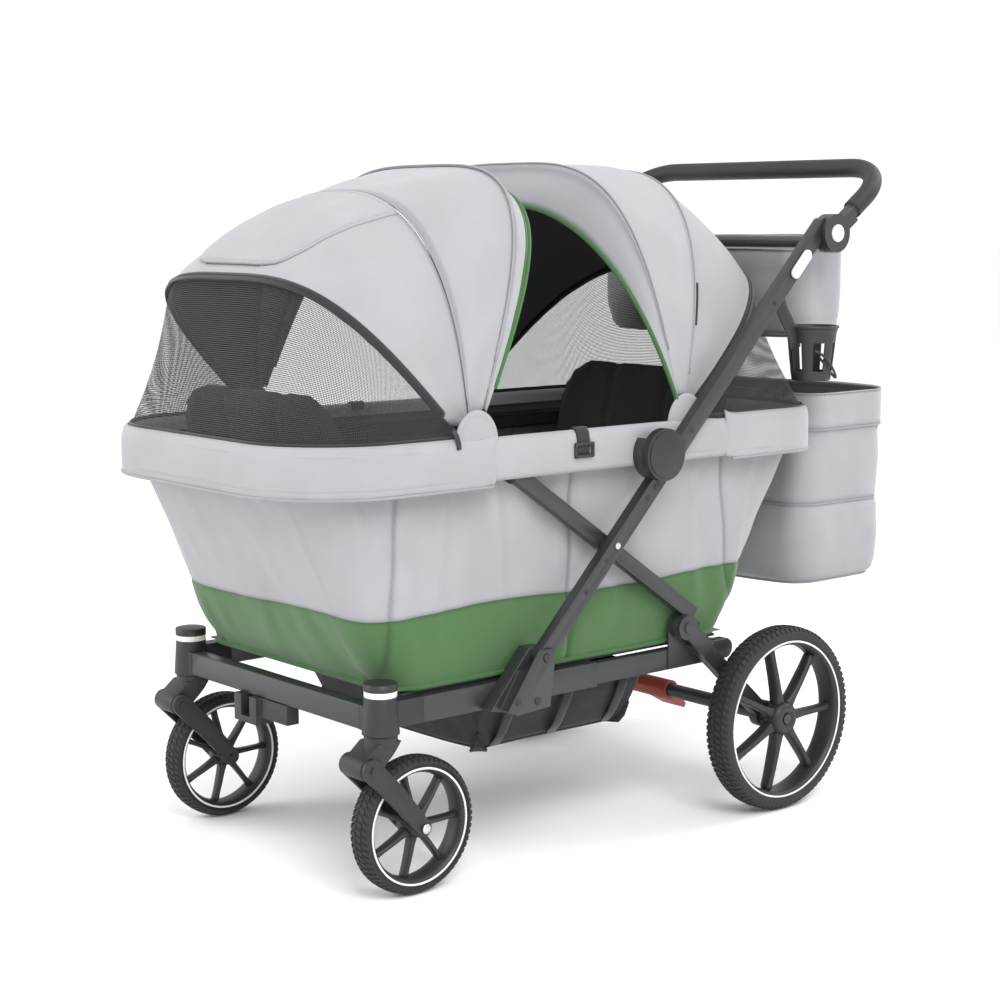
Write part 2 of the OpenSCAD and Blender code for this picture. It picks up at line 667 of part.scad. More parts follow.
module end_screens() color("#55565a") place() {
  end_screen(front_pivot_y, front_end_r, front_end_a, rim_y0 + fabric_t + 4, -1);
  end_screen(rear_pivot_y, rear_end_r, rear_end_a, rim_y1 - fabric_t - 4, 1);
}

bag_z1 = rim_top + 15;
bag_z0 = bag_z1 - bag_h;
module rear_bag() color(pale_grey) place() {
  difference() {
    translate([0, 0, bag_z0]) linear_extrude(bag_h) outline(bag_half, bag_y0, bag_y1, 50, 50);
    translate([0, 0, bag_z0 + fabric_t]) linear_extrude(bag_h)
      outline(bag_half - fabric_t, bag_y0 + fabric_t, bag_y1 - fabric_t, 50 - fabric_t, 50 - fabric_t);
  }
  for (x = [-120, 120]) block(x - 15, x + 15, rim_y1, bag_y0, rim_top - 25, rim_top - 15);
}

// ---- Handle ----
bar_y = arm_y + (side_len - 36) * cos(arm_angle);
bar_z = arm_z + (side_len - 36) * sin(arm_angle);
module handle_tubes() color(black) place() {
  both() difference() {
    union() {
      slab(tube_x0, tube_x0 + tube_t) along_arm() {
        translate([hub_d + 2, -tube_w / 2]) square([side_len - hub_d - 2, tube_w]);
        translate([side_len, 0]) circle(tube_w / 2);
        translate([hub_d, hub_offset]) circle(hub_boss_r);
        translate([hub_d + 2, -tube_w / 2]) square([16, hub_offset + tube_w / 2]);
      }
      rod(tube_x0, lug_x0 - pass_gap, handle_hub_y, handle_hub_z, handle_hub_r);
    }
    rod(tube_x0 - 1, hub_x1, hub_y, hub_z, 8 + run_gap);
    rod(tube_x0 - 1, tube_x0 + 40, handle_hub_y, handle_hub_z, 9 + run_gap);
    // The lug of the handlebar turns beside the tube's end.
    rod(lug_x0 - pass_gap, tube_x0 + tube_t + 1, handle_hub_y, handle_hub_z, handle_hub_r + pass_gap);
  }
  rod(-tube_x0, tube_x0, bar_y, bar_z, 9.5);
}

console_z1 = handle_hub_z - 8;
module console_bag() color(pale_grey) place() {
  difference() {
    translate([0, 0, console_z1 - 160]) linear_extrude(160)
      outline(235, console_y0, console_y0 + 135, 25, 30);
    translate([0, 0, console_z1 - 156]) linear_extrude(170)
      outline(231, console_y0 + 4, console_y0 + 131, 21, 26);
  }
  // Straps reach from the bag to the cross tube.
  for (x = [-150, 0, 150]) block(x - 20, x + 20, bar_y + 9.5, console_y0, bar_z - 6, bar_z + 1);
}

module cup_holder() color(black) place() {
  clip_d = (cup_z0 + cup_h + 70 - arm_z) / sin(arm_angle);
  clip_y = arm_y + clip_d * cos(arm_angle);
  difference() {
    union() {
      translate([cup_x, cup_y, cup_z0]) cylinder(r = cup_r + 3, h = cup_h + 4);
      slab(tube_x0 - 5, tube_x0) union() {
        along_arm() translate([clip_d - 20, -tube_w / 2]) square([40, tube_w]);
        polygon([[clip_y - 8, cup_z0 + cup_h + 74], [clip_y + 14, cup_z0 + cup_h + 66],
          [cup_y - cup_r + 2, cup_z0 + cup_h - 2], [cup_y - cup_r + 2, cup_z0 + cup_h - 44]]);
      }
    }
    translate([cup_x, cup_y, cup_z0 + 4]) cylinder(r = cup_r, h = 200);
  }
}

module tube_latches() color(cream) place() both()
  slab(tube_x0 + tube_t + 0.3, tube_x0 + tube_t + 6) along_arm() {
    translate([side_len - 104, 0]) circle(9);
    translate([side_len - 66, 0]) circle(9);
    translate([side_len - 104, -9]) square([38, 18]);
  }

// The handlebar runs from each lug along its arm, round the corners and across.
module bar_path(r, start) translate([0, handle_hub_y, handle_hub_z]) rotate([bar_angle, 0, 0]) {
  both() {
    translate([bar_x, start, 0]) rotate([-90, 0, 0]) cylinder(r = r, h = bar_len - bar_bend - start);
    translate([bar_x - bar_bend, bar_len - bar_bend, 0])
      rotate_extrude(angle = 90) translate([bar_bend, 0]) circle(r);
  }
  rod(bar_bend - bar_x, bar_x - bar_bend, bar_len, 0, r);
}
module handlebar() color(black) place() {
  bar_path(bar_r, handle_hub_r + 6);
  both() difference() {
    union() {
      rod(lug_x0, lug_x1, handle_hub_y, handle_hub_z, handle_hub_r);
      rod(tube_x0, lug_x1, handle_hub_y, handle_hub_z, 9);
      translate([0, handle_hub_y, handle_hub_z]) rotate([bar_angle, 0, 0])
        block(lug_x0, lug_x1, 10, handle_hub_r + 22, -bar_r, bar_r);
    }
    rod(lug_x1 - 5, lug_x1 + 1, handle_hub_y, handle_hub_z, 14 + pass_gap);
  }
}
module grip() color("#1d1d1f") place() difference() {
  bar_path(grip_r, handle_hub_r + 34);
  bar_path(bar_r, handle_hub_r + 6);
}
module tilt_button(side) color(cream) place() on_side(side)
  rod(lug_x1 - 1.5, lug_x1 + 3, handle_hub_y, handle_hub_z, 14);
module left_button() tilt_button(1);
module right_button() tilt_button(-1);

rail_sleeves();
cross_tubes();
caster_housings();
housing_trim();
arm_brackets();
floor_board();
tub_lower();
seat_cushions();
under_basket();
hitch_socket();
front_seat_back();
rear_seat_back();
rear_rails();
rear_cross_tube();
knuckles();
rear_axle();
brake_pedal();
left_brake_pin();
right_brake_pin();
left_rear_tyre();
left_rear_rim();
right_rear_tyre();
right_rear_rim();
left_fork_head();
left_fork_link();
left_front_tyre();
left_front_rim();
right_fork_head();
right_fork_link();
right_front_tyre();
right_front_rim();
arms();
fold_hubs();
crossing_rivets();
legs();
top_rail();
rim_band();
front_skirt();
tub_upper();
canopy_hinges();
end_bows();
end_screens();
end_panels();
rear_bag();
front_mid_bow();
rear_mid_bow();
front_mid_panel();
rear_mid_panel();
front_hem_bow();
rear_hem_bow();
front_visor();
rear_visor();
handle_tubes();
console_bag();
cup_holder();
tube_latches();
handlebar();
grip();
left_button();
right_button();
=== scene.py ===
import json
import math
import bpy
import bmesh
import numpy as np
from mathutils import Matrix, Vector, noise


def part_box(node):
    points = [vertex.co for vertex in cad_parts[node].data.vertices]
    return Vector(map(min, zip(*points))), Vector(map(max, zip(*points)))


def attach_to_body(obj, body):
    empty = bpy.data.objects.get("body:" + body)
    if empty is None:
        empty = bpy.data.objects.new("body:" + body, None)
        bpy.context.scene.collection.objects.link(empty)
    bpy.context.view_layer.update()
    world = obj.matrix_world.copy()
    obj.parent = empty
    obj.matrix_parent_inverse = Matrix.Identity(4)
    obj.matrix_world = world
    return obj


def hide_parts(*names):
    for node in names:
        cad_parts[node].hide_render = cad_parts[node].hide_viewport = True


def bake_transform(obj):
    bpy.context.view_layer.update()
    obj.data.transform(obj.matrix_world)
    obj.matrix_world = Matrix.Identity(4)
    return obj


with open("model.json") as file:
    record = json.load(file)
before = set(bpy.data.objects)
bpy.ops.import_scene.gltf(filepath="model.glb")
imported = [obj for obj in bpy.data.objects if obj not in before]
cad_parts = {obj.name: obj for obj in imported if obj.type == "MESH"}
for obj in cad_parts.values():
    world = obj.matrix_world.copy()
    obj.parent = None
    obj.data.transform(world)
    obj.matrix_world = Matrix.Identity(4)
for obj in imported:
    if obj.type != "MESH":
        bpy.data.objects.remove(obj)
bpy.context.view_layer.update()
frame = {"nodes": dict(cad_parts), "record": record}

# Lengths in the dictionaries are millimetres: x from the middle, y from the front axle, z from the floor.
tyreLow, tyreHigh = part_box("left_front_tyre")
axleY = (tyreLow.y + tyreHigh.y) / 2
scene = bpy.context.scene


def place(points):
    out = np.array(points, float) / 1000
    out[..., 1] += axleY
    return out


# Shader node groups, each built once.

def makeGroup(name, inputs, outputs):
    group = bpy.data.node_groups.new(name, "ShaderNodeTree")
    for label, kind, value in inputs:
        socket = group.interface.new_socket(label, in_out="INPUT", socket_type=kind)
        if value is not None:
            socket.default_value = value
    for label, kind in outputs:
        group.interface.new_socket(label, in_out="OUTPUT", socket_type=kind)
    return group, group.nodes.new("NodeGroupInput"), group.nodes.new("NodeGroupOutput")


def mathNode(tree, operation, a, b=None):
    n = tree.nodes.new("ShaderNodeMath")
    n.operation = operation
    for i, v in enumerate((a, b)):
        if isinstance(v, (int, float)):
            n.inputs[i].default_value = v
        elif v is not None:
            tree.links.new(v, n.inputs[i])
    return n.outputs[0]


def noiseNode(tree, vector, scale, detail=2.0):
    n = tree.nodes.new("ShaderNodeTexNoise")
    n.inputs["Scale"].default_value = scale
    n.inputs["Detail"].default_value = detail
    tree.links.new(vector, n.inputs["Vector"])
    return n.outputs["Fac"]


def rangeNode(tree, value, low, high, toLow, toHigh):
    n = tree.nodes.new("ShaderNodeMapRange")
    for i, v in enumerate((low, high, toLow, toHigh)):
        n.inputs[i + 1].default_value = v
    tree.links.new(value, n.inputs[0])
    return n.outputs[0]


def buildWeave():
    # Plain weave: threads over and under each other, with soft patches and flecks in the colour.
    g, gin, gout = makeGroup("clothWeave",
        [("Vector", "NodeSocketVector", None), ("Pitch", "NodeSocketFloat", 0.0008),
         ("Patches", "NodeSocketFloat", 9.0)],
        [("Height", "NodeSocketFloat"), ("Shade", "NodeSocketFloat"), ("Lattice", "NodeSocketFloat")])
    split = g.nodes.new("ShaderNodeSeparateXYZ")
    g.links.new(gin.outputs["Vector"], split.inputs[0])
    waves = []
    for axis in (0, 1):
        threads = mathNode(g, "DIVIDE", split.outputs[axis], gin.outputs["Pitch"])
        waves.append(mathNode(g, "SINE", mathNode(g, "MULTIPLY", threads, math.pi)))
    product = mathNode(g, "MULTIPLY", waves[0], waves[1])
    flecks = noiseNode(g, gin.outputs["Vector"], 900.0, 1.0)
    height = mathNode(g, "ADD", product, flecks)
    g.links.new(height, gout.inputs["Height"])
    patches = g.nodes.new("ShaderNodeTexNoise")
    g.links.new(gin.outputs["Vector"], patches.inputs["Vector"])
    g.links.new(gin.outputs["Patches"], patches.inputs["Scale"])
    broad = rangeNode(g, patches.outputs["Fac"], 0.3, 0.7, 0.94, 1.03)
    fine = rangeNode(g, flecks, 0.3, 0.7, 0.95, 1.04)
    g.links.new(mathNode(g, "MULTIPLY", broad, fine), gout.inputs["Shade"])
    g.links.new(mathNode(g, "ABSOLUTE", product), gout.inputs["Lattice"])
    return g


def buildGrain():
    # Fine grain with slow patches, for moulded plastic, paint, rubber and leather.
    g, gin, gout = makeGroup("surfaceGrain",
        [("Vector", "NodeSocketVector", None), ("Scale", "NodeSocketFloat", 900.0),
         ("Cells", "NodeSocketFloat", 0.0)],
        [("Height", "NodeSocketFloat"), ("Shade", "NodeSocketFloat"), ("Rough", "NodeSocketFloat")])
    grain = g.nodes.new("ShaderNodeTexNoise")
    g.links.new(gin.outputs["Vector"], grain.inputs["Vector"])
    g.links.new(gin.outputs["Scale"], grain.inputs["Scale"])
    cells = g.nodes.new("ShaderNodeTexVoronoi")
    g.links.new(gin.outputs["Vector"], cells.inputs["Vector"])
    g.links.new(gin.outputs["Scale"], cells.inputs["Scale"])
    pebble = mathNode(g, "MULTIPLY", cells.outputs["Distance"], gin.outputs["Cells"])
    g.links.new(mathNode(g, "ADD", grain.outputs["Fac"], pebble), gout.inputs["Height"])
    slow = noiseNode(g, gin.outputs["Vector"], 14.0, 4.0)
    g.links.new(rangeNode(g, slow, 0.3, 0.7, 0.88, 1.12), gout.inputs["Shade"])
    g.links.new(rangeNode(g, slow, 0.3, 0.7, -0.06, 0.06), gout.inputs["Rough"])
    return g


weave, grain = buildWeave(), buildGrain()


def startMaterial(name):
    m = bpy.data.materials.new(name)
    m.use_nodes = True
    tree = m.node_tree
    return m, tree, tree.nodes["Principled BSDF"]


def tinted(tree, colour, shade, seamShade=False):
    mix = tree.nodes.new("ShaderNodeMix")
    mix.data_type, mix.blend_type = "RGBA", "MULTIPLY"
    mix.inputs["Factor"].default_value = 1.0
    mix.inputs["A"].default_value = (*colour, 1)
    tree.links.new(shade, mix.inputs["B"])
    out = mix.outputs["Result"]
    # Painted shade: where the per-vertex seam mask is set, the colour is multiplied darker, standing in for
    # the shade in sewn grooves and creases.
    if seamShade:
        shadeMask = tree.nodes.new("ShaderNodeAttribute")
        shadeMask.attribute_name = "seamShade"
        paintedShade = tree.nodes.new("ShaderNodeMix")
        paintedShade.data_type, paintedShade.blend_type = "RGBA", "MULTIPLY"
        paintedShade.inputs["B"].default_value = (0.5, 0.5, 0.53, 1)
        tree.links.new(shadeMask.outputs["Fac"], paintedShade.inputs["Factor"])
        tree.links.new(out, paintedShade.inputs["A"])
        out = paintedShade.outputs["Result"]
    return out


def bumpFrom(tree, height, shader, strength, distance):
    bump = tree.nodes.new("ShaderNodeBump")
    bump.inputs["Strength"].default_value = strength
    bump.inputs["Distance"].default_value = distance
    tree.links.new(height, bump.inputs["Height"])
    tree.links.new(bump.outputs[0], shader.inputs["Normal"])


def cloth(name, colour, pitch=0.0009, rough=0.8, sheen=0.25, strength=0.35, gap=None):
    m, tree, shader = startMaterial(name)
    uv = tree.nodes.new("ShaderNodeTexCoord").outputs["UV"]
    g = tree.nodes.new("ShaderNodeGroup")
    g.node_tree = weave
    g.inputs["Pitch"].default_value = pitch
    tree.links.new(uv, g.inputs["Vector"])
    tree.links.new(tinted(tree, colour, g.outputs["Shade"], gap is None), shader.inputs["Base Color"])
    shader.inputs["Roughness"].default_value = rough
    shader.inputs["Sheen Weight"].default_value = sheen
    shader.inputs["Sheen Roughness"].default_value = 0.45
    bumpFrom(tree, g.outputs["Height"], shader, strength, pitch * 0.3)
    if gap is not None:
        hole = mathNode(tree, "LESS_THAN", g.outputs["Lattice"], gap)
        tree.links.new(hole, shader.inputs["Alpha"])
    return m


def solid(name, colour, scale=900.0, rough=0.45, metallic=0.0, strength=0.12, cells=0.0, coat=0.0):
    m, tree, shader = startMaterial(name)
    where = tree.nodes.new("ShaderNodeTexCoord").outputs["Object"]
    g = tree.nodes.new("ShaderNodeGroup")
    g.node_tree = grain
    g.inputs["Scale"].default_value = scale
    g.inputs["Cells"].default_value = cells
    tree.links.new(where, g.inputs["Vector"])
    tree.links.new(tinted(tree, colour, g.outputs["Shade"]), shader.inputs["Base Color"])
    tree.links.new(mathNode(tree, "ADD", g.outputs["Rough"], rough), shader.inputs["Roughness"])
    shader.inputs["Metallic"].default_value = metallic
    shader.inputs["Coat Weight"].default_value = coat
    bumpFrom(tree, g.outputs["Height"], shader, strength, 0.4 / scale)
    return m


greyCloth = cloth("greyCloth", (0.325, 0.325, 0.345))
greyTrim = cloth("greyTrim", (0.27, 0.27, 0.29), pitch=0.0012)
greenCloth = cloth("greenCloth", (0.05, 0.125, 0.038))
greenTrim = cloth("greenTrim", (0.035, 0.115, 0.03), pitch=0.0012)
liningCloth = cloth("liningCloth", (0.075, 0.075, 0.082), sheen=0.15)
blackCloth = cloth("blackCloth", (0.013, 0.013, 0.015), sheen=0.12)
screenMesh = cloth("screenMesh", (0.03, 0.03, 0.034), pitch=0.0022, sheen=0.05, gap=0.42)
zipTape = cloth("zipTape", (0.012, 0.012, 0.014), pitch=0.001)
threadCloth = cloth("thread", (0.38, 0.38, 0.41), pitch=0.0005)
paintedTube = solid("paintedTube", (0.022, 0.024, 0.027), 1400.0, 0.42, 0.0, 0.1, coat=0.12)
mouldedBlack = solid("mouldedBlack", (0.016, 0.017, 0.018), 1100.0, 0.5, 0.0, 0.25)
creamPlastic = solid("creamPlastic", (0.8, 0.79, 0.74), 700.0, 0.3, 0.0, 0.06, coat=0.2)
zincSteel = solid("zincSteel", (0.62, 0.62, 0.63), 500.0, 0.32, 1.0, 0.12)
redPlastic = solid("redPlastic", (0.3, 0.045, 0.028), 1100.0, 0.5, 0.0, 0.2)
tyreRubber = solid("tyreRubber", (0.017, 0.017, 0.018), 700.0, 0.72, 0.0, 0.35)
gripLeather = solid("gripLeather", (0.012, 0.012, 0.013), 650.0, 0.55, 0.0, 0.5, cells=1.5)
boardPlastic = solid("boardPlastic", (0.03, 0.03, 0.033), 500.0, 0.6)
whiteRing = solid("whiteRing", (0.72, 0.73, 0.73), 600.0, 0.4, 0.0, 0.1)
print("materials built")


# Mesh helpers.

def addObject(name, verts, faces, mats, smooth=True):
    mesh = bpy.data.meshes.new(name)
    mesh.from_pydata([tuple(v) for v in verts], [], faces)
    for m in mats:
        mesh.materials.append(m)
    if smooth:
        mesh.shade_smooth()
    obj = bpy.data.objects.new(name, mesh)
    scene.collection.objects.link(obj)
    return obj


def faceOutwards(mesh, centre=None, away=True):
    mesh.update()
    mid = Vector(np.array([v.co for v in mesh.vertices]).mean(0)) if centre is None else Vector(centre)
    total = sum(p.normal.dot((p.center - mid).normalized()) * p.area for p in mesh.polygons)
    if (total < 0) == away:
        mesh.flip_normals()


def gridSheet(name, points, mats, closed=False, bands=None, centre=None, caps=False, seamShade=None):
    # Points run (along, across); bands gives a material index for each row across.
    points = np.asarray(points, float)
    nu, nv = points.shape[:2]
    index = np.arange(nu * nv).reshape(nu, nv)
    steps = nu if closed else nu - 1
    along = np.linalg.norm(np.diff(points[:, nv // 2], axis=0, append=points[:1, nv // 2]), axis=1)
    u = np.concatenate([[0], np.cumsum(along)])
    across = np.linalg.norm(np.diff(points, axis=1), axis=2).mean(0)
    v = np.concatenate([[0], np.cumsum(across)])
    faces, uvs, slots = [], [], []
    for i in range(steps):
        k = (i + 1) % nu
        for j in range(nv - 1):
            faces.append((int(index[i, j]), int(index[k, j]), int(index[k, j + 1]), int(index[i, j + 1])))
            uvs += [(u[i], v[j]), (u[i + 1], v[j]), (u[i + 1], v[j + 1]), (u[i], v[j + 1])]
            slots.append(0 if bands is None else bands[j])
    if caps:
        for end in (0, nu - 1):
            ring = [int(n) for n in index[end]]
            faces.append(ring[::-1] if end == 0 else ring)
            uvs += [(0, 0)] * nv
            slots.append(0)
    obj = addObject(name, points.reshape(-1, 3), faces, mats)
    layer = obj.data.uv_layers.new(name="UVMap")
    layer.data.foreach_set("uv", np.array(uvs, np.float32).ravel())
    obj.data.polygons.foreach_set("material_index", slots)
    # The mask of painted seam shade, kept as a vertex attribute for the cloth shader.
    if seamShade is not None:
        attribute = obj.data.attributes.new("seamShade", "FLOAT", "POINT")
        attribute.data.foreach_set("value", np.asarray(seamShade, np.float32).ravel())
    faceOutwards(obj.data, centre)
    return obj


def thicken(obj, thickness, inner=0, rim=0):
    wall = obj.modifiers.new("wall", "SOLIDIFY")
    wall.thickness, wall.offset = thickness / 1000, -1
    wall.material_offset, wall.material_offset_rim = inner, rim
    return obj


def pathFrames(path, closed):
    path = np.asarray(path, float)
    if closed:
        tangent = np.roll(path, -1, 0) - np.roll(path, 1, 0)
    else:
        tangent = np.gradient(path, axis=0)
    return path, tangent / (np.linalg.norm(tangent, axis=1)[:, None] + 1e-12)


def tube(name, path, radius, mat, closed=False, sides=10, flat=1.0, normals=None):
    # A round or flattened tube along a path; flat is its thickness as a share of its width.
    path, tangent = pathFrames(path, closed)
    if normals is None:
        normal = np.zeros_like(path)
        start = np.array([0, 0, 1.0]) if abs(tangent[0][2]) < 0.9 else np.array([1.0, 0, 0])
        for i, t in enumerate(tangent):
            start = start - t * (start @ t)
            start /= np.linalg.norm(start)
            normal[i] = start
    else:
        normal = np.asarray(normals, float)
        normal = normal - tangent * (normal * tangent).sum(1)[:, None]
        normal /= np.linalg.norm(normal, axis=1)[:, None]
    side = np.cross(tangent, normal)
    a = np.linspace(0, 2 * math.pi, sides + 1)
    ring = path[:, None] + radius * (np.cos(a)[None, :, None] * normal[:, None] * flat
                                     + np.sin(a)[None, :, None] * side[:, None])
    obj = gridSheet(name, place(ring), [mat], closed=closed, caps=not closed)
    weld(obj)
    return obj


def weld(obj, distance=1e-6):
    bm = bmesh.new()
    bm.from_mesh(obj.data)
    bmesh.ops.remove_doubles(bm, verts=bm.verts, dist=distance)
    bmesh.ops.recalc_face_normals(bm, faces=bm.faces)
    bm.to_mesh(obj.data)
    bm.free()


def join(name, parts):
    bpy.ops.object.select_all(action="DESELECT")
    for p in parts:
        p.select_set(True)
    bpy.context.view_layer.objects.active = parts[0]
    bpy.ops.object.join()
    parts[0].name = name
    return parts[0]


def wrinkle(points, amount, scale, stretch=(1, 1, 1), seed=0.0):
    flat = np.asarray(points, float).reshape(-1, 3) * np.array(stretch) / scale + seed
    values = np.array([noise.noise(Vector(p)) for p in flat])
    return amount * values.reshape(np.asarray(points).shape[:-1])


def baked(obj, name):
    # The evaluated object as one plain mesh with no modifiers.
    evaluated = obj.evaluated_get(bpy.context.evaluated_depsgraph_get())
    mesh = bpy.data.meshes.new_from_object(evaluated)
    bpy.data.objects.remove(obj)
    result = bpy.data.objects.new(name, mesh)
    scene.collection.objects.link(result)
    return result


# Geometry node trees.

def nodeTree(name, inputs):
    tree = bpy.data.node_groups.new(name, "GeometryNodeTree")
    tree.interface.new_socket("Geometry", in_out="INPUT", socket_type="NodeSocketGeometry")
    tree.interface.new_socket("Geometry", in_out="OUTPUT", socket_type="NodeSocketGeometry")
    for label, kind in inputs:
        tree.interface.new_socket(label, in_out="INPUT", socket_type=kind)
    return tree, tree.nodes.new("NodeGroupInput"), tree.nodes.new("NodeGroupOutput")


def finishTree(tree, gin, gout, instances):
    real = tree.nodes.new("GeometryNodeRealizeInstances")
    tree.links.new(instances, real.inputs[0])
    setter = tree.nodes.new("GeometryNodeSetMaterial")
    tree.links.new(real.outputs[0], setter.inputs["Geometry"])
    tree.links.new(gin.outputs["Material"], setter.inputs["Material"])
    tree.links.new(setter.outputs[0], gout.inputs["Geometry"])


def buildRingTree():
    # Copies the piece round an axle along X: spokes, tread blocks.
    tree, gin, gout = nodeTree("ringOfCopies",
                               [("Count", "NodeSocketInt"), ("Material", "NodeSocketMaterial")])
    points = tree.nodes.new("GeometryNodePoints")
    tree.links.new(gin.outputs["Count"], points.inputs["Count"])
    index = tree.nodes.new("GeometryNodeInputIndex")
    turn = tree.nodes.new("ShaderNodeMath")
    turn.operation = "DIVIDE"
    tree.links.new(index.outputs[0], turn.inputs[0])
    tree.links.new(gin.outputs["Count"], turn.inputs[1])
    angle = tree.nodes.new("ShaderNodeMath")
    angle.operation = "MULTIPLY"
    angle.inputs[1].default_value = 2 * math.pi
    tree.links.new(turn.outputs[0], angle.inputs[0])
    rotation = tree.nodes.new("ShaderNodeCombineXYZ")
    tree.links.new(angle.outputs[0], rotation.inputs["X"])
    copies = tree.nodes.new("GeometryNodeInstanceOnPoints")
    tree.links.new(points.outputs[0], copies.inputs["Points"])
    tree.links.new(gin.outputs["Geometry"], copies.inputs["Instance"])
    tree.links.new(rotation.outputs[0], copies.inputs["Rotation"])
    finishTree(tree, gin, gout, copies.outputs[0])
    return tree


def buildPathTree():
    # Small blocks laid end to end along a path: stitches, zip teeth.
    tree, gin, gout = nodeTree("blocksOnPath", [("Spacing", "NodeSocketFloat"), ("Size", "NodeSocketVector"),
                                               ("Material", "NodeSocketMaterial")])
    curve = tree.nodes.new("GeometryNodeMeshToCurve")
    tree.links.new(gin.outputs["Geometry"], curve.inputs[0])
    points = tree.nodes.new("GeometryNodeCurveToPoints")
    points.mode = "LENGTH"
    tree.links.new(curve.outputs[0], points.inputs["Curve"])
    tree.links.new(gin.outputs["Spacing"], points.inputs["Length"])
    block = tree.nodes.new("GeometryNodeMeshCylinder")
    block.inputs["Vertices"].default_value = 6
    block.inputs["Radius"].default_value = 0.5
    block.inputs["Depth"].default_value = 1.0
    copies = tree.nodes.new("GeometryNodeInstanceOnPoints")
    tree.links.new(points.outputs["Points"], copies.inputs["Points"])
    tree.links.new(block.outputs["Mesh"], copies.inputs["Instance"])
    tree.links.new(points.outputs["Rotation"], copies.inputs["Rotation"])
    tree.links.new(gin.outputs["Size"], copies.inputs["Scale"])
    finishTree(tree, gin, gout, copies.outputs[0])
    return tree


def buildRivetTree():
    # A domed rivet on every point, flattened along X so that it faces sideways.
    tree, gin, gout = nodeTree("rivetOnPoint",
                               [("Radius", "NodeSocketFloat"), ("Material", "NodeSocketMaterial")])
    dome = tree.nodes.new("GeometryNodeMeshUVSphere")
    dome.inputs["Segments"].default_value = 16
    dome.inputs["Rings"].default_value = 8
    tree.links.new(gin.outputs["Radius"], dome.inputs["Radius"])
    flatten = tree.nodes.new("GeometryNodeTransform")
    flatten.inputs["Scale"].default_value = (0.4, 1, 1)
    tree.links.new(dome.outputs["Mesh"], flatten.inputs["Geometry"])
    smooth = tree.nodes.new("GeometryNodeSetShadeSmooth")
    tree.links.new(flatten.outputs[0], smooth.inputs[0])
    copies = tree.nodes.new("GeometryNodeInstanceOnPoints")
    tree.links.new(gin.outputs["Geometry"], copies.inputs["Points"])
    tree.links.new(smooth.outputs[0], copies.inputs["Instance"])
    finishTree(tree, gin, gout, copies.outputs[0])
    return tree


ringTree, pathTree, rivetTree = buildRingTree(), buildPathTree(), buildRivetTree()


def runTree(obj, tree, name, **values):
    modifier = obj.modifiers.new("nodes", "NODES")
    modifier.node_group = tree
    for item in tree.interface.items_tree:
        if item.in_out == "INPUT" and item.name in values:
            modifier[item.identifier] = values[item.name]
    bpy.context.view_layer.update()
    return baked(obj, name)


def stitches(name, paths, spacing=5.0, size=(0.7, 0.7, 3.2), mat=None, closed=False):
    verts, edges = [], []
    for path in paths:
        start = len(verts)
        verts += [tuple(p) for p in place(path)]
        edges += [(i, i + 1) for i in range(start, len(verts) - 1)]
        if closed:
            edges.append((len(verts) - 1, start))
    mesh = bpy.data.meshes.new(name)
    mesh.from_pydata(verts, edges, [])
    obj = bpy.data.objects.new(name + "Path", mesh)
    scene.collection.objects.link(obj)
    return runTree(obj, pathTree, name, Spacing=spacing / 1000, Size=[s / 1000 for s in size],
                   Material=mat or threadCloth)


def rivets(name, spots, radius, mat, body):
    # Spots are (x, y, z) on the left side; each is mirrored to the right.
    verts = [tuple(p) for x, y, z in spots for p in place([(x, y, z), (-x, y, z)])]
    mesh = bpy.data.meshes.new(name)
    mesh.from_pydata(verts, [], [])
    obj = bpy.data.objects.new(name + "Spots", mesh)
    scene.collection.objects.link(obj)
    piece = runTree(obj, rivetTree, name, Radius=radius / 1000, Material=mat)
    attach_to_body(piece, body)
    return piece


def attach(piece, body, slot, *nodes):
    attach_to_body(piece, body)
    if nodes:
        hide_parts(*nodes)
    return piece


# Camera, lights and floor.
cameraSpec = dict(x=2418.6, y=-1681.8, z=956.2, azimuth=49.582, elevation=8.036, lens=71.247)


def buildCamera():
    data = bpy.data.cameras.new("camera")
    data.lens, data.sensor_width = cameraSpec["lens"], 36
    data.clip_end = 100
    cam = bpy.data.objects.new("camera", data)
    scene.collection.objects.link(cam)
    cam.location = place((cameraSpec["x"], cameraSpec["y"], cameraSpec["z"]))
    a, e = math.radians(cameraSpec["azimuth"]), math.radians(cameraSpec["elevation"])
    back = Vector((math.sin(a) * math.cos(e), -math.cos(a) * math.cos(e), math.sin(e)))
    cam.rotation_mode = "QUATERNION"
    cam.rotation_quaternion = (-back).to_track_quat("-Z", "Y")
    scene.camera = cam
    scene.view_settings.view_transform = "Standard"


def buildStage():
    pale, _, shader = startMaterial("paleFloor")
    shader.inputs["Base Color"].default_value = (0.93, 0.93, 0.93, 1)
    shader.inputs["Roughness"].default_value = 0.95
    shader.inputs["Specular IOR Level"].default_value = 0.1
    floor = addObject("floor", [(-60, -60, 0), (60, -60, 0), (60, 60, 0), (-60, 60, 0)], [(0, 1, 2, 3)],
                      [pale])
    world = bpy.data.worlds.new("world")
    scene.world = world
    world.use_nodes = True
    world.node_tree.nodes["Background"].inputs["Color"].default_value = (1, 1, 1, 1)
    world.node_tree.nodes["Background"].inputs["Strength"].default_value = 1.08
    for name, spot, size, power in (("keyLight", (3.4, -1.6, 3.6), 2.2, 150),
                                    ("fillLight", (-2.5, -3.5, 2.4), 2.6, 70),
                                    ("backLight", (0.5, 3.6, 3.2), 2.4, 60)):
        data = bpy.data.lights.new(name, "AREA")
        data.size, data.energy = size, power
        light = bpy.data.objects.new(name, data)
        scene.collection.objects.link(light)
        light.location = spot
        light.rotation_euler = (Vector((0, 0, 0.5)) - Vector(spot)).to_track_quat("-Z", "Y").to_euler()


buildCamera()
buildStage()
print("camera and stage built")


# Hard parts: the frame's own solids with softened edges.

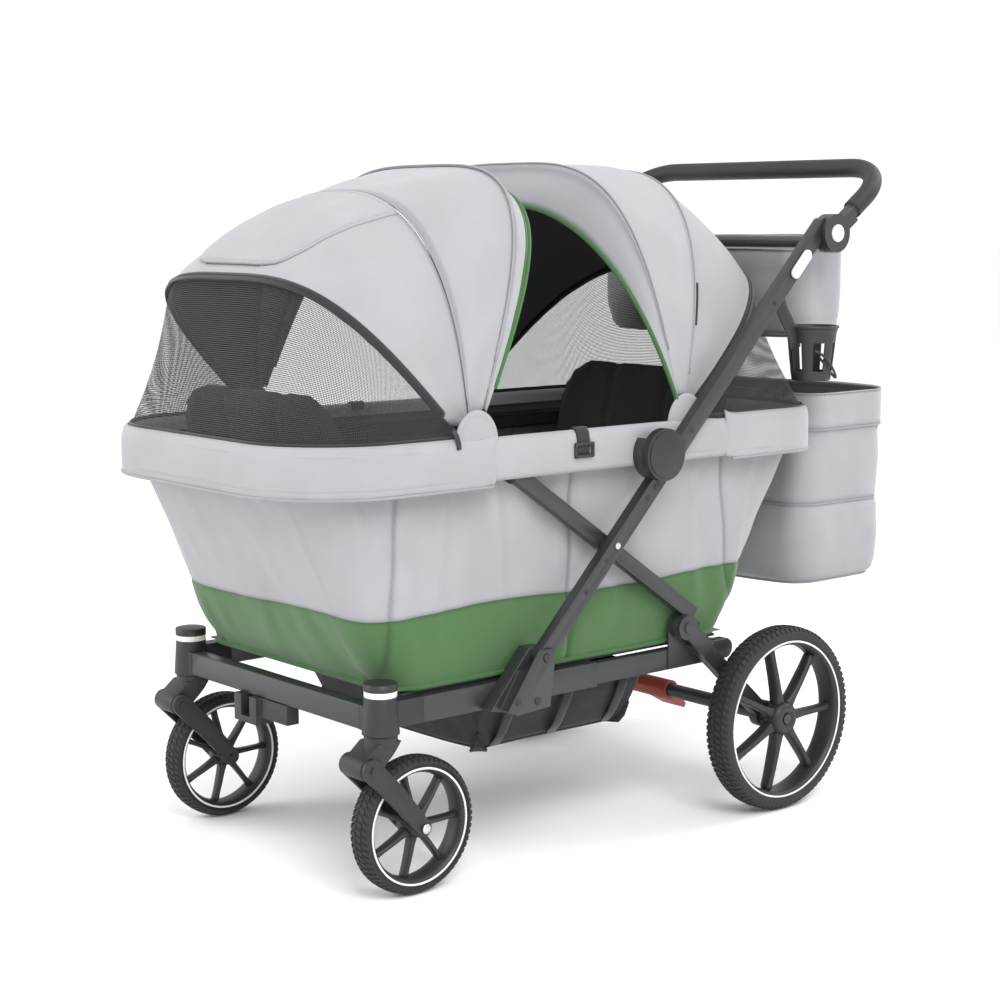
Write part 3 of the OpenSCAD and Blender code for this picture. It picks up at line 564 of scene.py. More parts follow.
def softEdges(node, mat, body, slot, width=1.2, segments=2):
    source = frame["nodes"][node]
    obj = source.copy()
    obj.data = source.data.copy()
    obj.parent = None
    for key in list(obj.keys()):
        del obj[key]
    scene.collection.objects.link(obj)
    obj.name = node + "Shaped"
    bm = bmesh.new()
    bm.from_mesh(obj.data)
    bmesh.ops.remove_doubles(bm, verts=bm.verts, dist=1e-5)
    bmesh.ops.dissolve_limit(bm, angle_limit=math.radians(1.0), verts=bm.verts, edges=bm.edges)
    bm.to_mesh(obj.data)
    bm.free()
    obj.data.materials.clear()
    obj.data.materials.append(mat)
    obj.data.shade_smooth()
    bevel = obj.modifiers.new("edges", "BEVEL")
    bevel.width, bevel.segments = width / 1000, segments
    bevel.limit_method, bevel.angle_limit = "ANGLE", math.radians(32)
    bevel.harden_normals = True
    attach(obj, body, slot, node)
    return obj


bodyOf = {n: b for b, nodes in frame["record"]["behaviour"]["bodies"].items() for n in nodes}
slotOf = {s["node"]: s["material_slot"] for s in frame["record"]["subparts"]}
shaped = [
    (paintedTube, 2.2, ["rail_sleeves", "cross_tubes", "arm_brackets", "rear_rails", "rear_cross_tube",
                        "knuckles",
                        "arms", "legs", "handle_tubes"]),
    (mouldedBlack, 1.6, ["caster_housings", "hitch_socket", "fold_hubs", "left_fork_head",
                         "right_fork_head", "left_fork_link", "right_fork_link"]),
    (creamPlastic, 1.4, ["housing_trim", "tube_latches", "left_button", "right_button"]),
    (redPlastic, 1.5, ["brake_pedal"]),
]
for mat, width, nodes in shaped:
    for n in nodes:
        softEdges(n, mat, bodyOf[n], slotOf[n], width)
plain = {"top_rail": paintedTube, "canopy_hinges": mouldedBlack, "handlebar": paintedTube,
         "crossing_rivets": zincSteel,
         "left_brake_pin": zincSteel, "right_brake_pin": zincSteel, "rear_axle": paintedTube,
         "floor_board": boardPlastic}
for n, mat in plain.items():
    data = frame["nodes"][n].data
    data.materials.clear()
    data.materials.append(mat)
print("hard parts shaped")


# Wheels.
wheelSpecs = {
    "rear": dict(radius=151.5, width=46, hub=27, spokeHub=11, spokeRim=8, x=307.5, y=714, blocks=84,
                 ring=128),
    "front": dict(radius=101, width=40, hub=17, spokeHub=8, spokeRim=6, x=250, y=0, blocks=62, ring=84.5),
}


def lathe(name, profile, mat, turns=96):
    # Profile points are (x, r) round the axle.
    a = np.linspace(0, 2 * math.pi, turns, endpoint=False)
    pts = np.array([[(x, r * math.cos(t), r * math.sin(t)) for x, r in profile + profile[:1]] for t in a])
    obj = gridSheet(name, pts / 1000, [mat], closed=True)
    weld(obj)
    return obj


# The brake pin drops into one of these notches round the hub's inner end.
notchSpec = dict(count=14, circle=26.0, radius=5.2, first=-53.13, depth=14.0)


def notchHub(hub, name, sx, h):
    n = notchSpec
    pins = []
    for k in range(n["count"]):
        a = math.radians(360 * k / n["count"] + n["first"])
        y, z = n["circle"] * math.cos(a), n["circle"] * math.sin(a)
        xs = (-sx * (h + 3), -sx * (h - n["depth"]))
        rings = [[(x, y + r * math.cos(t), z + r * math.sin(t))
                  for t in np.linspace(0, 2 * math.pi, 20, endpoint=False)]
                 for x, r in ((xs[0], 0.0), (xs[0], n["radius"]), (xs[1], n["radius"]), (xs[1], 0.0))]
        pin = gridSheet(name + "Notch", np.swapaxes(np.array(rings), 0, 1) / 1000, [mouldedBlack],
                        closed=True)
        weld(pin)
        pins.append(pin)
    cutter = join(name + "Notches", pins)
    faceOutwards(cutter.data)
    cut = hub.modifiers.new("notches", "BOOLEAN")
    cut.operation, cut.solver, cut.object, cut.use_self = "DIFFERENCE", "EXACT", cutter, True
    hub = baked(hub, name + "Hub")
    bpy.data.objects.remove(cutter, do_unlink=True)
    return hub


def buildWheel(side, which):
    s = wheelSpecs[which]
    r, w, sx = s["radius"], s["width"], 1 if side == "left" else -1
    inner = r * 0.86
    name = side + which.capitalize()
    centre = place((sx * s["x"], s["y"], r))
    shoulder = [(w / 2 * math.sin(math.radians(a)), r - 11 + 9.5 * math.cos(math.radians(a)))
                for a in range(-90, 91, 10)]
    profile = [(-w / 2 + 1.5, inner)] + [(-w / 2, inner + 4)] + shoulder + [(w / 2, inner + 4),
            (w / 2 - 1.5, inner)]
    parts = [lathe(name + "Carcass", profile, tyreRubber, 120)]
    # One tread block of each kind, slanted like a chevron.
    for sign, offset in ((1, 0.0), (-1, 0.5)):
        for lane in (0, 1):
            x0, x1 = (1.5, w / 2 * 0.52) if lane == 0 else (w / 2 * 0.6, w / 2 * 0.95)
            drop0, drop1 = (0, 0.9) if lane == 0 else (1.3, 5.4)
            half = math.pi / s["blocks"] * 0.62
            lean = half * 1.1
            corner = []
            for x, lift, shift in ((x0, drop0, 0), (x1, drop1, lean)):
                for a in (-half + shift, half + shift):
                    turn = a + offset * 2 * math.pi / s["blocks"]
                    for h in (-2.5, 0.0):
                        rr = r - lift + h
                        corner.append((sign * x, rr * math.cos(turn), rr * math.sin(turn)))
            faces = [(0, 1, 3, 2), (4, 6, 7, 5), (0, 4, 5, 1), (2, 3, 7, 6), (1, 5, 7, 3), (0, 2, 6, 4)]
            block = addObject(name + "Block", np.array(corner) / 1000, faces, [tyreRubber], False)
            weld(block)
            parts.append(runTree(block, ringTree, name + "Tread", Count=s["blocks"], Material=tyreRubber))
    tyre = join(name + "TyreShaped", parts)
    tyre.data.transform(Matrix.Translation(centre))
    attach(tyre, bodyOf[f"{side}_{which}_tyre"], "tyre", f"{side}_{which}_tyre")
    # Rim, spokes and hub.
    lip = w / 2 - 2
    rimProfile = [(-lip, inner + 0.5), (lip, inner + 0.5), (lip + 0.6, inner - 3), (lip - 2, inner - 7),
                  (lip - 7, inner - 9),
                  (6, inner - 10.5), (-6, inner - 10.5), (-lip + 7, inner - 9), (-lip + 2, inner - 7),
                  (-lip - 0.6, inner - 3)]
    parts = [lathe(name + "Rim", rimProfile, mouldedBlack)]
    h = w / 2 - 2 if which == "rear" else w / 2 + 1
    hubProfile = [(-h, s["hub"] * 0.5), (-h, s["hub"] * 0.78), (-h + 3, s["hub"] * 0.92), (-6, s["hub"]),
                  (8, s["hub"]),
                  (h - 3, s["hub"] * 0.92), (h, s["hub"] * 0.75), (h + 0.8, s["hub"] * 0.5),
                  (h - 1.5, s["hub"] * 0.44),
                  (h - 1.5, 0.8), (-h, 0.8)]
    hub = lathe(name + "Hub", hubProfile, mouldedBlack, 64)
    if which == "rear":
        hub = notchHub(hub, name, sx, h)
    parts.append(hub)
    rows = []
    for k in range(13):
        t = k / 12
        rad = s["hub"] * 0.8 + t * (inner - 8.5 - s["hub"] * 0.8)
        flare = (2 * t - 1) ** 4
        half = s["spokeHub"] * (1 - t) + s["spokeRim"] * t
        half = half * (0.62 + 0.55 * flare)
        out, back = (w / 2 - 9) + 4 * math.sin(math.pi * t) * 0.5 - 4 * t, -w / 2 + 11
        ring = [(back, -half * 0.8), (back, half * 0.8), (out - 3, half), (out, half * 0.45),
                (out, -half * 0.45), (out - 3, -half)]
        rows.append([(x, rad, y) for x, y in ring + ring[:1]])
    spoke = gridSheet(name + "Spoke", np.array(rows) / 1000, [mouldedBlack], caps=True)
    weld(spoke)
    sub = spoke.modifiers.new("round", "SUBSURF")
    sub.levels = sub.render_levels = 1
    spoke = baked(spoke, name + "SpokeRound")
    parts.append(runTree(spoke, ringTree, name + "Spokes", Count=7, Material=mouldedBlack))
    rim = join(name + "RimShaped", parts)
    for p in rim.data.polygons:
        p.use_smooth = True
    ringRadius, face = s["ring"], lip + 1.2
    ringProfile = [(face - 1.2, ringRadius - 1.6), (face, ringRadius - 1.4), (face + 0.2, ringRadius),
                   (face, ringRadius + 1.4),
                   (face - 1.2, ringRadius + 1.6)]
    ring = lathe(name + "Line", ringProfile, whiteRing)
    back = lathe(name + "LineBack", [(-x, q) for x, q in ringProfile], whiteRing)
    rim = join(name + "RimShaped", [rim, ring, back])
    rim.data.transform(Matrix.Translation(centre))
    attach(rim, bodyOf[f"{side}_{which}_rim"], "moulded_black", f"{side}_{which}_rim")


for side in ("left", "right"):
    for which in ("rear", "front"):
        buildWheel(side, which)
print("wheels built")


# Plan outlines, shared by the rim, the tub and the bags.

def ringPath(half, y0, y1, frontR, rearR, counts=(20, 14, 84, 22, 20)):
    n1, n2, n3, n4, n5 = counts
    pts = [(x, y1) for x in np.linspace(0, half - rearR, n1, endpoint=False)]
    pts += [(half - rearR + rearR * math.sin(a), y1 - rearR + rearR * math.cos(a))
            for a in np.linspace(0, math.pi / 2, n2, endpoint=False)]
    pts += [(half, y) for y in np.linspace(y1 - rearR, y0 + frontR, n3, endpoint=False)]
    pts += [(half - frontR + frontR * math.cos(a), y0 + frontR - frontR * math.sin(a))
            for a in np.linspace(0, math.pi / 2, n4, endpoint=False)]
    pts += [(x, y0) for x in np.linspace(half - frontR, 0, n5)]
    pts = np.array(pts)
    return np.concatenate([pts, pts[-2:0:-1] * [-1, 1]])


def outwardNormals(path, closed=True):
    path, tangent = pathFrames(np.c_[path, np.zeros(len(path))], closed)
    normal = np.c_[-tangent[:, 1], tangent[:, 0]]
    mid = path[:, :2].mean(0)
    sign = np.sign(((path[:, :2] - mid) * normal).sum())
    return normal * sign


def sweep(name, path, profile, mats, closed=True, bands=None, amount=None):
    # Profile is (n, z) pairs, or a function of the path index that gives them.
    normal = outwardNormals(path, closed)
    rows = []
    for i, (p, n) in enumerate(zip(path, normal)):
        pr = profile(i) if callable(profile) else profile
        rows.append([(p[0] + n[0] * a, p[1] + n[1] * a, z) for a, z in pr])
    pts = np.array(rows)
    if amount:
        shift = wrinkle(pts, amount[0], amount[1], amount[2])
        pts[..., :2] += normal[:, None] * shift[..., None]
    pts = np.concatenate([pts, pts[:, :1]], axis=1)
    obj = gridSheet(name, place(pts), mats, closed=closed, caps=not closed, bands=bands)
    weld(obj)
    return obj


# Fabric tub: green below, grey above, gathered into sewn panels.
tubSpec = dict(bottom=294, join=405, top=604,
               seams=[(-119, 331, -216, 579), (-33, 317, -30, 579), (643, 413, 623, 577),
                      (300, 300, 300, 590)],
               folds=[(-185, -70, 3.5), (-100, -40, 2.6), (60, 40, 2.2), (150, 190, 2.4), (420, 380, 2.2),
                      (560, 575, 2.6),
                      (700, 640, 3.2)])


def tubPath(z, counts):
    s = (z - 292) / 298
    return ringPath(245 + 13 * s, -25 - 153 * s, 645 + 177 * s, 50 + 60 * s, 50 + 15 * s, counts)


def buildTub():
    counts = (26, 18, 220, 34, 26)
    lower = list(np.linspace(tubSpec["bottom"], tubSpec["join"], 20))
    upper = list(np.linspace(tubSpec["join"], tubSpec["top"], 34))[1:]
    levels = lower + upper
    base = [tubPath(z, counts) for z in levels]
    normal = outwardNormals(base[len(levels) // 2])
    count = len(base[0])
    rows = np.zeros((count, len(levels), 3))
    seamShade = np.zeros((count, len(levels)))
    waves = 4 * np.sin(base[-1][:, 1] / 95.0) + 3 * np.sin(base[-1][:, 0] / 60.0)
    for j, z in enumerate(levels):
        rows[:, j, :2] = base[j]
        edge = 1 - abs(z - tubSpec["join"]) / 110
        rows[:, j, 2] = z + waves * max(edge, 0)
    bulge = np.array([6 * math.sin(math.pi * min(max((z - 294) / 111, 0), 1)) if z < 405 else
                      -3.5 * math.sin(math.pi * (z - 405) / 199) for z in levels])
    depth = wrinkle(rows, 5.0, 90.0, (1, 1, 0.42)) + wrinkle(rows, 2.2, 34.0, (1, 1, 0.5), 7.0)
    fade = np.array([min(1, (z - 292) / 25, (612 - z) / 30) for z in levels])
    shift = (bulge + depth * fade)
    for y0, z0, y1, z1 in tubSpec["seams"]:
        where = y0 + (np.array(levels) - z0) * (y1 - y0) / (z1 - z0)
        wander = 2.0 * np.sin(np.array(levels) / 23.0)
        d = np.abs(rows[:, :, 1] - (where + wander)[None])
        onSide = np.abs(rows[:, :, 0]) > 180
        groove = np.exp(-(d / 5.2) ** 2) * onSide
        shift = shift - 2.6 * groove + 2.0 * np.exp(-((d - 22) / 16) ** 2) * onSide
        # Painted shade down the bottom of each seam groove.
        seamShade = np.maximum(seamShade, 0.8 * np.exp(-(d / 3.6) ** 2) * onSide)
    joinRow = np.exp(-((np.array(levels) - tubSpec["join"]) / 4.0) ** 2)
    shift = shift - 1.4 * joinRow[None]
    # Painted shade along the join of the green and grey cloth.
    seamShade = np.maximum(seamShade, 0.8 * np.exp(-((np.array(levels) - tubSpec["join"]) / 2.6) ** 2)[None])
    rows[:, :, :2] += normal[:, None] * shift[..., None]
    bands = [0 if z < tubSpec["join"] - 0.1 else 1 for z in levels[:-1]]
    for top, low, deep in tubSpec["folds"]:
        where = top + (low - top) * (590 - np.array(levels)) / 298
        d = (rows[:, :, 1] - where[None]) * (np.abs(rows[:, :, 0]) > 180)
        d = np.where(np.abs(rows[:, :, 0]) > 180, d, 999)
        shape = np.exp(-(d / 9.0) ** 2) - 0.7 * np.exp(-((d - 22) / 14.0) ** 2)
        rise = np.clip((np.array(levels) - 330) / 120, 0, 1) * np.clip((604 - np.array(levels)) / 40, 0, 1)
        rows[:, :, :2] += normal[:, None] * (deep * shape * rise[None])[..., None]
    tub = gridSheet("tubFabric", place(rows), [greenCloth, greyCloth, liningCloth, liningCloth],
                    closed=True, bands=bands,
                    seamShade=seamShade)
    thicken(tub, 2.5, inner=2, rim=0)
    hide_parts("tub_upper", "tub_lower")
    low, high = place((0, 0, 300)), place((0, 0, 592))
    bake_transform(tub)
    rings = [np.linalg.norm(np.diff(tubPath(z, counts), axis=0, append=tubPath(z, counts)[:1]),
                            axis=1).sum() / 1000
             for z in (tubSpec["bottom"], tubSpec["top"])]
    # Piping round the bottom edge.
    path = tubPath(296, counts)
    piping = tube("tubPiping", np.c_[path + outwardNormals(path) * 1.5, np.full(len(path), 297)], 4.0,
                  greenTrim, closed=True)
    attach(piping, "chassis", "green_fabric")
    bottom = np.array([[(x * f, y, 296) for f in (-1, -0.5, 0, 0.5, 1)] for x, y in
                       [(244, y) for y in np.linspace(-22, 640, 14)]])
    under = gridSheet("tubUnderside", place(bottom), [greenCloth], centre=place((0, 300, 400)))
    thicken(under, 2.0)
    attach(under, "chassis", "green_fabric")


buildTub()
print("tub built")


# Padded rim, with the skirts that wrap its ends.
rimSpec = dict(half=285, y0=-203, y1=848, front=150, rear=90, top=652, bottom=590)
pivotYs = (93, 517)


def buildRim():
    path = ringPath(rimSpec["half"], rimSpec["y0"], rimSpec["y1"], rimSpec["front"], rimSpec["rear"])
    normal = outwardNormals(path)

    def profile(i):
        x, y = path[i]
        near = min(abs(y - p) for p in pivotYs)
        inner = 4 + 9 * min(max((near - 42) / 25, 0), 1) if abs(x) > 230 else 13
        arm = min(max((abs(y - 490) - 85) / 30, 0), 1) if abs(x) > 230 else 1
        puff = 0.8 + 2.0 * arm
        return [(-5, 590), (-1, 588.5), (puff * 0.7, 594), (puff, 606), (puff * 1.15, 620), (puff, 636),
                (0.3, 646),
                (-inner * 0.4, 651.5), (-inner * 0.8, 650), (-inner, 643), (-inner, 630),
                (-inner - 2, 622), (-37, 620.5),
                (-38, 617), (-30, 615.5), (-8, 615.5), (-6, 603)]
    bands = [0] * 10 + [1] * 7
    rim = sweep("rimPad", path, profile, [greyCloth, blackCloth], bands=bands,
                amount=(1.0, 46.0, (1, 1, 0.3)))
    attach(rim, "top_frame", "grey_fabric", "rim_band")
    low = path + normal * 1.6
    thread = stitches("rimStitching", [np.c_[low, np.full(len(low), 600.0)]], closed=True)
    attach(thread, "top_frame", "grey_fabric")


def skirtPath(front):
    path = ringPath(rimSpec["half"], rimSpec["y0"], rimSpec["y1"], rimSpec["front"], rimSpec["rear"],
                    (30, 20, 140, 30, 30))
    if front:
        keep = [p for p in path if p[1] < 128]
    else:
        turned = np.roll(path, len(path) // 2, axis=0)
        keep = [p for p in turned if p[1] > 596]
    return np.array(keep)


def buildSkirt(name, front):
    path = skirtPath(front)
    count = len(path)
    limit = 8.4 if front else 5.0

    def profile(i):
        edge = min(i, count - 1 - i)
        grow = min(1, (edge / 4.0)) ** 0.5
        n = 2.2 + (limit - 2.2) * grow
        low = (582 if front else 584) + (1 - grow) * 6
        return [(1.2, low + 6), (2.0, low), (n - 1.2, low - 1.5), (n, low + 3), (n * 0.97, low + 9),
                (n * 1.04, low + 22),
                (n * 1.05, low + 38), (n * 0.96, low + 54), (n * 0.6, low + 66), (-1, low + 71.5),
                (-3, low + 70),
                (-1.0, low + 62), (1.2, low + 50)]
    skirt = sweep(name, path, profile, [greyCloth], closed=False, amount=(1.6, 60.0, (1, 1, 0.35)))
    attach(skirt, "top_frame", "grey_fabric", *(["front_skirt"] if front else []))
    normal = outwardNormals(path, False)
    inner = slice(3, count - 3)
    for label, offset, z in (("Low", limit * 1.02, 594 if front else 596), ("High", limit * 0.8, 640)):
        line = np.c_[path[inner] + normal[inner] * offset, np.full(len(path[inner]), float(z))]
        attach(stitches(name + label + "Stitches", [line]), "top_frame", "grey_fabric")
    edge = np.c_[path + normal * (limit + 0.2), np.full(count, 582.0 if front else 584.0)][2:-2]
    attach(tube(name + "Piping", edge, 2.0, greyTrim, sides=8), "top_frame", "grey_fabric")


buildRim()
buildSkirt("frontSkirtPad", True)
buildSkirt("rearSkirtPad", False)
print("rim built")


# Canopies: each fan section is one curved sheet between two bows, set outside the last so that they nest.
canopySpec = {
    "front": dict(y=93, z=640, bows=[(-44.5, 334, 3.6, 261), (-4.4, 358, 2.5, 268), (18.3, 418, 3.7, 277),
                                     (25, 408, 3.6, 279)],
                  bodies=["top_frame", "front_canopy_mid", "front_canopy_hem"]),
    "rear": dict(y=517, z=640, bows=[(47.5, 366, 3.3, 261), (12, 404, 2.8, 268), (-16.5, 420, 3.7, 277),
                                     (-23, 372, 2.5, 279)],
                 bodies=["top_frame", "rear_canopy_mid", "rear_canopy_hem"]),
}


bowSweep = math.pi / 2 * 0.985  # each bow's cloth stops just short of its pivots


def bowPoint(spec, angle, radius, power, half, t):
    x = half * np.sign(np.sin(t)) * np.abs(np.sin(t)) ** (2 / power)
    r = radius * np.abs(np.cos(t)) ** (2 / power)
    a = np.radians(angle)
    return np.stack([x, spec["y"] + r * np.sin(a), spec["z"] + r * np.cos(a)], -1)


def cutSize(spec, first, second):
    t = np.linspace(-bowSweep, bowSweep, 300)
    return cutBetween(*(place(bowPoint(spec, *bow, t)) for bow in (first, second)))


def cutBetween(a, b):
    # The pattern piece between two edges: its longest side, its widest place and its area, in metres.
    steps = [np.linalg.norm(np.diff(edge, axis=0), axis=1) for edge in (a, b)]
    strips = np.linalg.norm(np.cross(b[1:] - a[:-1], b[:-1] - a[1:]), axis=1) / 2
    widest = np.linalg.norm(a[:, None] - b[None], axis=2).min(axis=1).max()
    return (max(step.sum() for step in steps), widest), strips.sum()


def sectionPoints(spec, k, t, shares):
    # One fan section with its soft waves; t runs across the wagon and shares run from bow to bow.
    first, second = sectionBows(spec, k)
    rows = []
    for s in shares:
        q = np.array(first, float) + (np.array(second, float) - np.array(first, float)) * s
        pull = 1 - (0.022 if k < 2 else 0.0) * math.sin(math.pi * s)
        rows.append(bowPoint(spec, q[0], q[1] * pull, q[2], q[3], t))
    pts = np.swapaxes(np.array(rows), 0, 1)
    out = pts - np.array((0, spec["y"], spec["z"] + 40))
    out /= np.linalg.norm(out, axis=-1)[..., None]
    rest = np.sin(np.asarray(shares) * math.pi)[None, :]
    soft = wrinkle(pts, 5.0, 120.0, (0.7, 1, 1), 3.0 * k) + wrinkle(pts, 1.8, 45.0, (1, 1, 1), 5.0)
    return pts + out * (soft * rest)[..., None], out


def sectionBows(spec, k):
    first, second = list(spec["bows"][k]), list(spec["bows"][k + 1])
    if k:
        first[1] += 2.5
        first[3] += 2.5 if k == 1 else 1.0
    return first, second


def buildCanopy(which):
    spec = canopySpec[which]
    bows = spec["bows"]
    labels = ["End", "Mid", "Visor"]
    nodes = {"End": [], "Mid": [f"{which}_mid_panel"], "Visor": [f"{which}_visor"]}
    for k, label in enumerate(labels):
        first, second = sectionBows(spec, k)
        wide = abs(second[0] - first[0])
        nv = max(8, int(wide * 1.3))
        centre = (0, spec["y"], spec["z"] + 40)
        across = np.linspace(-bowSweep, bowSweep, 150)
        pts, _ = sectionPoints(spec, k, across, np.linspace(0, 1, nv))
        line = np.linspace(0, 1, nv)[None, :] * np.ones((150, 1)) * wide
        # Painted shade along the sewn channel beside the bow.
        seamShade = np.exp(-((line - 1.2) / 0.5) ** 2) * 0.8 if k else np.zeros_like(line)
        sheet = gridSheet(which + label + "Canopy", place(pts), [greyCloth, liningCloth, greyTrim],
                          centre=place(centre), seamShade=seamShade)
        thicken(sheet, 1.6, inner=1, rim=2)
        body = spec["bodies"][k]
        attach(sheet, body, "grey_fabric", *nodes[label])
        flat, area = cutSize(spec, first, second)
    # Bows inside the sewn channels, seam cords and stitching over them.
    t = np.linspace(-bowSweep, bowSweep, 150)
    for k, (label, node) in enumerate((("EndBow", None), ("MidBow", f"{which}_mid_bow"),
                                       ("HemBow", f"{which}_hem_bow"))):
        angle, radius, power, half = bows[k]
        path = bowPoint(spec, angle, radius - 5.5, power, half - 5.5, t)
        bow = tube(which + label, path, 3.4, mouldedBlack, sides=12)
        attach(bow, spec["bodies"][k], "bow_black", *([node] if node else []))
        if k:
            lift = bowPoint(spec, angle, radius + 3.6, power, half + (3.2 if k == 1 else 1.6), t[4:-4])
            cord = tube(which + label + "Seam", lift, 1.5, greyTrim, sides=8)
            attach(cord, spec["bodies"][k], "grey_fabric")
            for sign in (-1, 1):
                off = bowPoint(spec, angle + sign * 0.9, radius + 3.0, power,
                               half + (2.9 if k == 1 else 1.5), t[6:-6])
                if (sign > 0) == (bows[k][0] > bows[0][0]) or k == 1:
                    attach(stitches(f"{which}{label}Stitches{'A' if sign < 0 else 'B'}", [off]),
                           spec["bodies"][k],
                           "grey_fabric")
    angle, radius, power, half = bows[3]
    edge = bowPoint(spec, angle, radius, power, half, t[2:-2])
    parts = [tube(which + "Binding", edge, 3.6, greenTrim, sides=10)]
    inset = 1.2 if bows[3][0] < 0 else -1.2
    parts.append(tube(which + "Binding2",
                      bowPoint(spec, angle + inset, radius + 1.0, power, half, t[2:-2]), 1.8, greenTrim,
                      sides=8))
    attach(join(which + "GreenBinding", parts), spec["bodies"][2], "green_fabric")


for which in ("front", "rear"):
    buildCanopy(which)
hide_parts("end_bows")
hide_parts("end_panels")
print("canopies built")


# Mesh end screens with their zips.
screenSpec = dict(rimInset=6, rimZ=651, sag=10)


def screenPoints(which, nu=180, nv=40):
    spec = canopySpec[which]
    angle, radius, power, half = spec["bows"][0]
    path = ringPath(rimSpec["half"] - screenSpec["rimInset"], rimSpec["y0"] + 6, rimSpec["y1"] - 6, 144,
                    84, (30, 20, 140, 30, 30))
    if which == "front":
        low = np.array([p for p in path if p[1] < spec["y"] - 12])
        low = low[np.argsort(np.arctan2(low[:, 0], -(low[:, 1] - spec["y"])))]
    else:
        low = np.array([p for p in path if p[1] > spec["y"] + 12])
        low = low[np.argsort(np.arctan2(low[:, 0], low[:, 1] - spec["y"]))]
    step = np.r_[0, np.cumsum(np.linalg.norm(np.diff(low, axis=0), axis=1))]
    u = np.linspace(0, 1, nu)
    low = np.c_[np.interp(u * step[-1], step, low[:, 0]), np.interp(u * step[-1], step, low[:, 1]),
                np.full(nu, screenSpec["rimZ"])]
    t = np.linspace(-math.pi / 2 * 0.97, math.pi / 2 * 0.97, 600)
    high = bowPoint(spec, angle, radius - 2, power, half - 1, t)
    step = np.r_[0, np.cumsum(np.linalg.norm(np.diff(high, axis=0), axis=1))]
    high = np.stack([np.interp(u * step[-1], step, high[:, k]) for k in range(3)], -1)
    v = np.linspace(0, 1, nv)[None, :, None]
    pts = low[:, None] * (1 - v) + high[:, None] * v
    pull = np.sin(math.pi * v[..., 0]) * np.sin(math.pi * u)[:, None] * screenSpec["sag"]
    centre = np.array([0, spec["y"], 640])
    inward = centre - pts
    inward /= np.linalg.norm(inward, axis=-1)[..., None]
    return pts + inward * pull[..., None], low, high


def buildScreen(which):
    pts, low, high = screenPoints(which)
    spec = canopySpec[which]
    screen = gridSheet(which + "Screen", place(pts), [screenMesh], centre=place((0, spec["y"], 640)))
    attach(screen, "top_frame", "mesh", *(["end_screens"] if which == "front" else []))
    flat, area = cutBetween(place(low), place(high))
    away = np.array([0, spec["y"], 600])
    for label, path, width in (("Low", low, 6.0), ("High", high, 7.5)):
        outward = path - away
        lift = outward / np.linalg.norm(outward, axis=1)[:, None]
        tape = tube(which + label + "Zip", path + lift * 2, width, zipTape, sides=12, flat=0.28, normals=lift)
        attach(tape, "top_frame", "dark_fabric")
        attach(stitches(which + label + "Teeth", [path + lift * 4.2], 2.6, (1.6, 2.6, 1.3), mouldedBlack),
               "top_frame", "bow_black")


for which in ("front", "rear"):
    buildScreen(which)
print("screens built")


# Window flap on the front canopy.
flapSpec = dict(tip=0.1, root=0.47, start=0.1, end=0.985, lift=5.0, taper=0.45)


def buildFlap():
    spec = canopySpec["front"]
    rows = []
    run = flapSpec["end"] - flapSpec["start"]
    shares = np.linspace(flapSpec["start"], flapSpec["end"], 30)
    for s in shares:
        widen = ((s - flapSpec["start"]) / run) ** flapSpec["taper"]
        half = flapSpec["tip"] + (flapSpec["root"] - flapSpec["tip"]) * widen
        t = np.linspace(-half, half, 70)
        pts, out = sectionPoints(spec, 0, t, [s])
        edge = 1 - 0.75 * np.abs(np.linspace(-1, 1, 70)) ** 14
        rows.append(pts[:, 0] + out[:, 0] * (flapSpec["lift"] * edge)[:, None])
    pts = np.swapaxes(np.array(rows), 0, 1)
    flap = gridSheet("windowFlap", place(pts), [greyCloth, greyTrim], centre=place((0, 93, 640)))
    thicken(flap, 3.2, inner=0, rim=1)
    attach(flap, "top_frame", "grey_fabric")
    # It is cut to the arc of its root and tip, and to the arc along its middle.
    tilts = np.linspace(0, 1, 60)
    halves = flapSpec["tip"] + (flapSpec["root"] - flapSpec["tip"]) * tilts ** flapSpec["taper"]
    for s, half in zip(flapSpec["start"] + run * tilts, halves):
        q = [a + (b - a) * s for a, b in zip(spec["bows"][0], spec["bows"][1])]
        edge = place(bowPoint(spec, *q, np.linspace(-half, half, 60)))
    ring = np.concatenate([pts[2:-2, 1], pts[-3, 1:-1], pts[-3:1:-1, -2], pts[2, -2:0:-1]])
    away = ring - np.array((0, 93, 680))
    away /= np.linalg.norm(away, axis=1)[:, None]
    attach(stitches("flapStitches", [ring + away * 0.5], closed=True), "top_frame", "grey_fabric")


buildFlap()


# Storage bags: lofted shells that sag, with a cuff and a sewn pocket.
bagSpecs = {
    "rear": dict(half=228, y0=860, y1=1083, corner=52,
                 levels=[(342, -16), (350, -5), (372, 1), (420, 5), (466, 2), (476, -3),
                 (486, 0), (540, 1), (596, 0), (604, 3.5), (612, 5), (640, 5), (660, 5), (666, 3)],
                 body="top_frame",
                 node="rear_bag", sag=9),
    "console": dict(half=232, y0=825, y1=954, corner=34,
                    levels=[(766, -14), (774, -4), (800, 2), (850, 5), (880, 4), (905, 1),
                    (912, 2), (926, 2), (930, 0)], body="handle", node="console_bag", sag=4),
    "basket": dict(half=224, y0=139, y1=501, corner=24,
                   levels=[(168, -44), (176, -34), (200, -24), (230, -8), (254, 0)],
                   body="chassis", node="under_basket", sag=8),
}


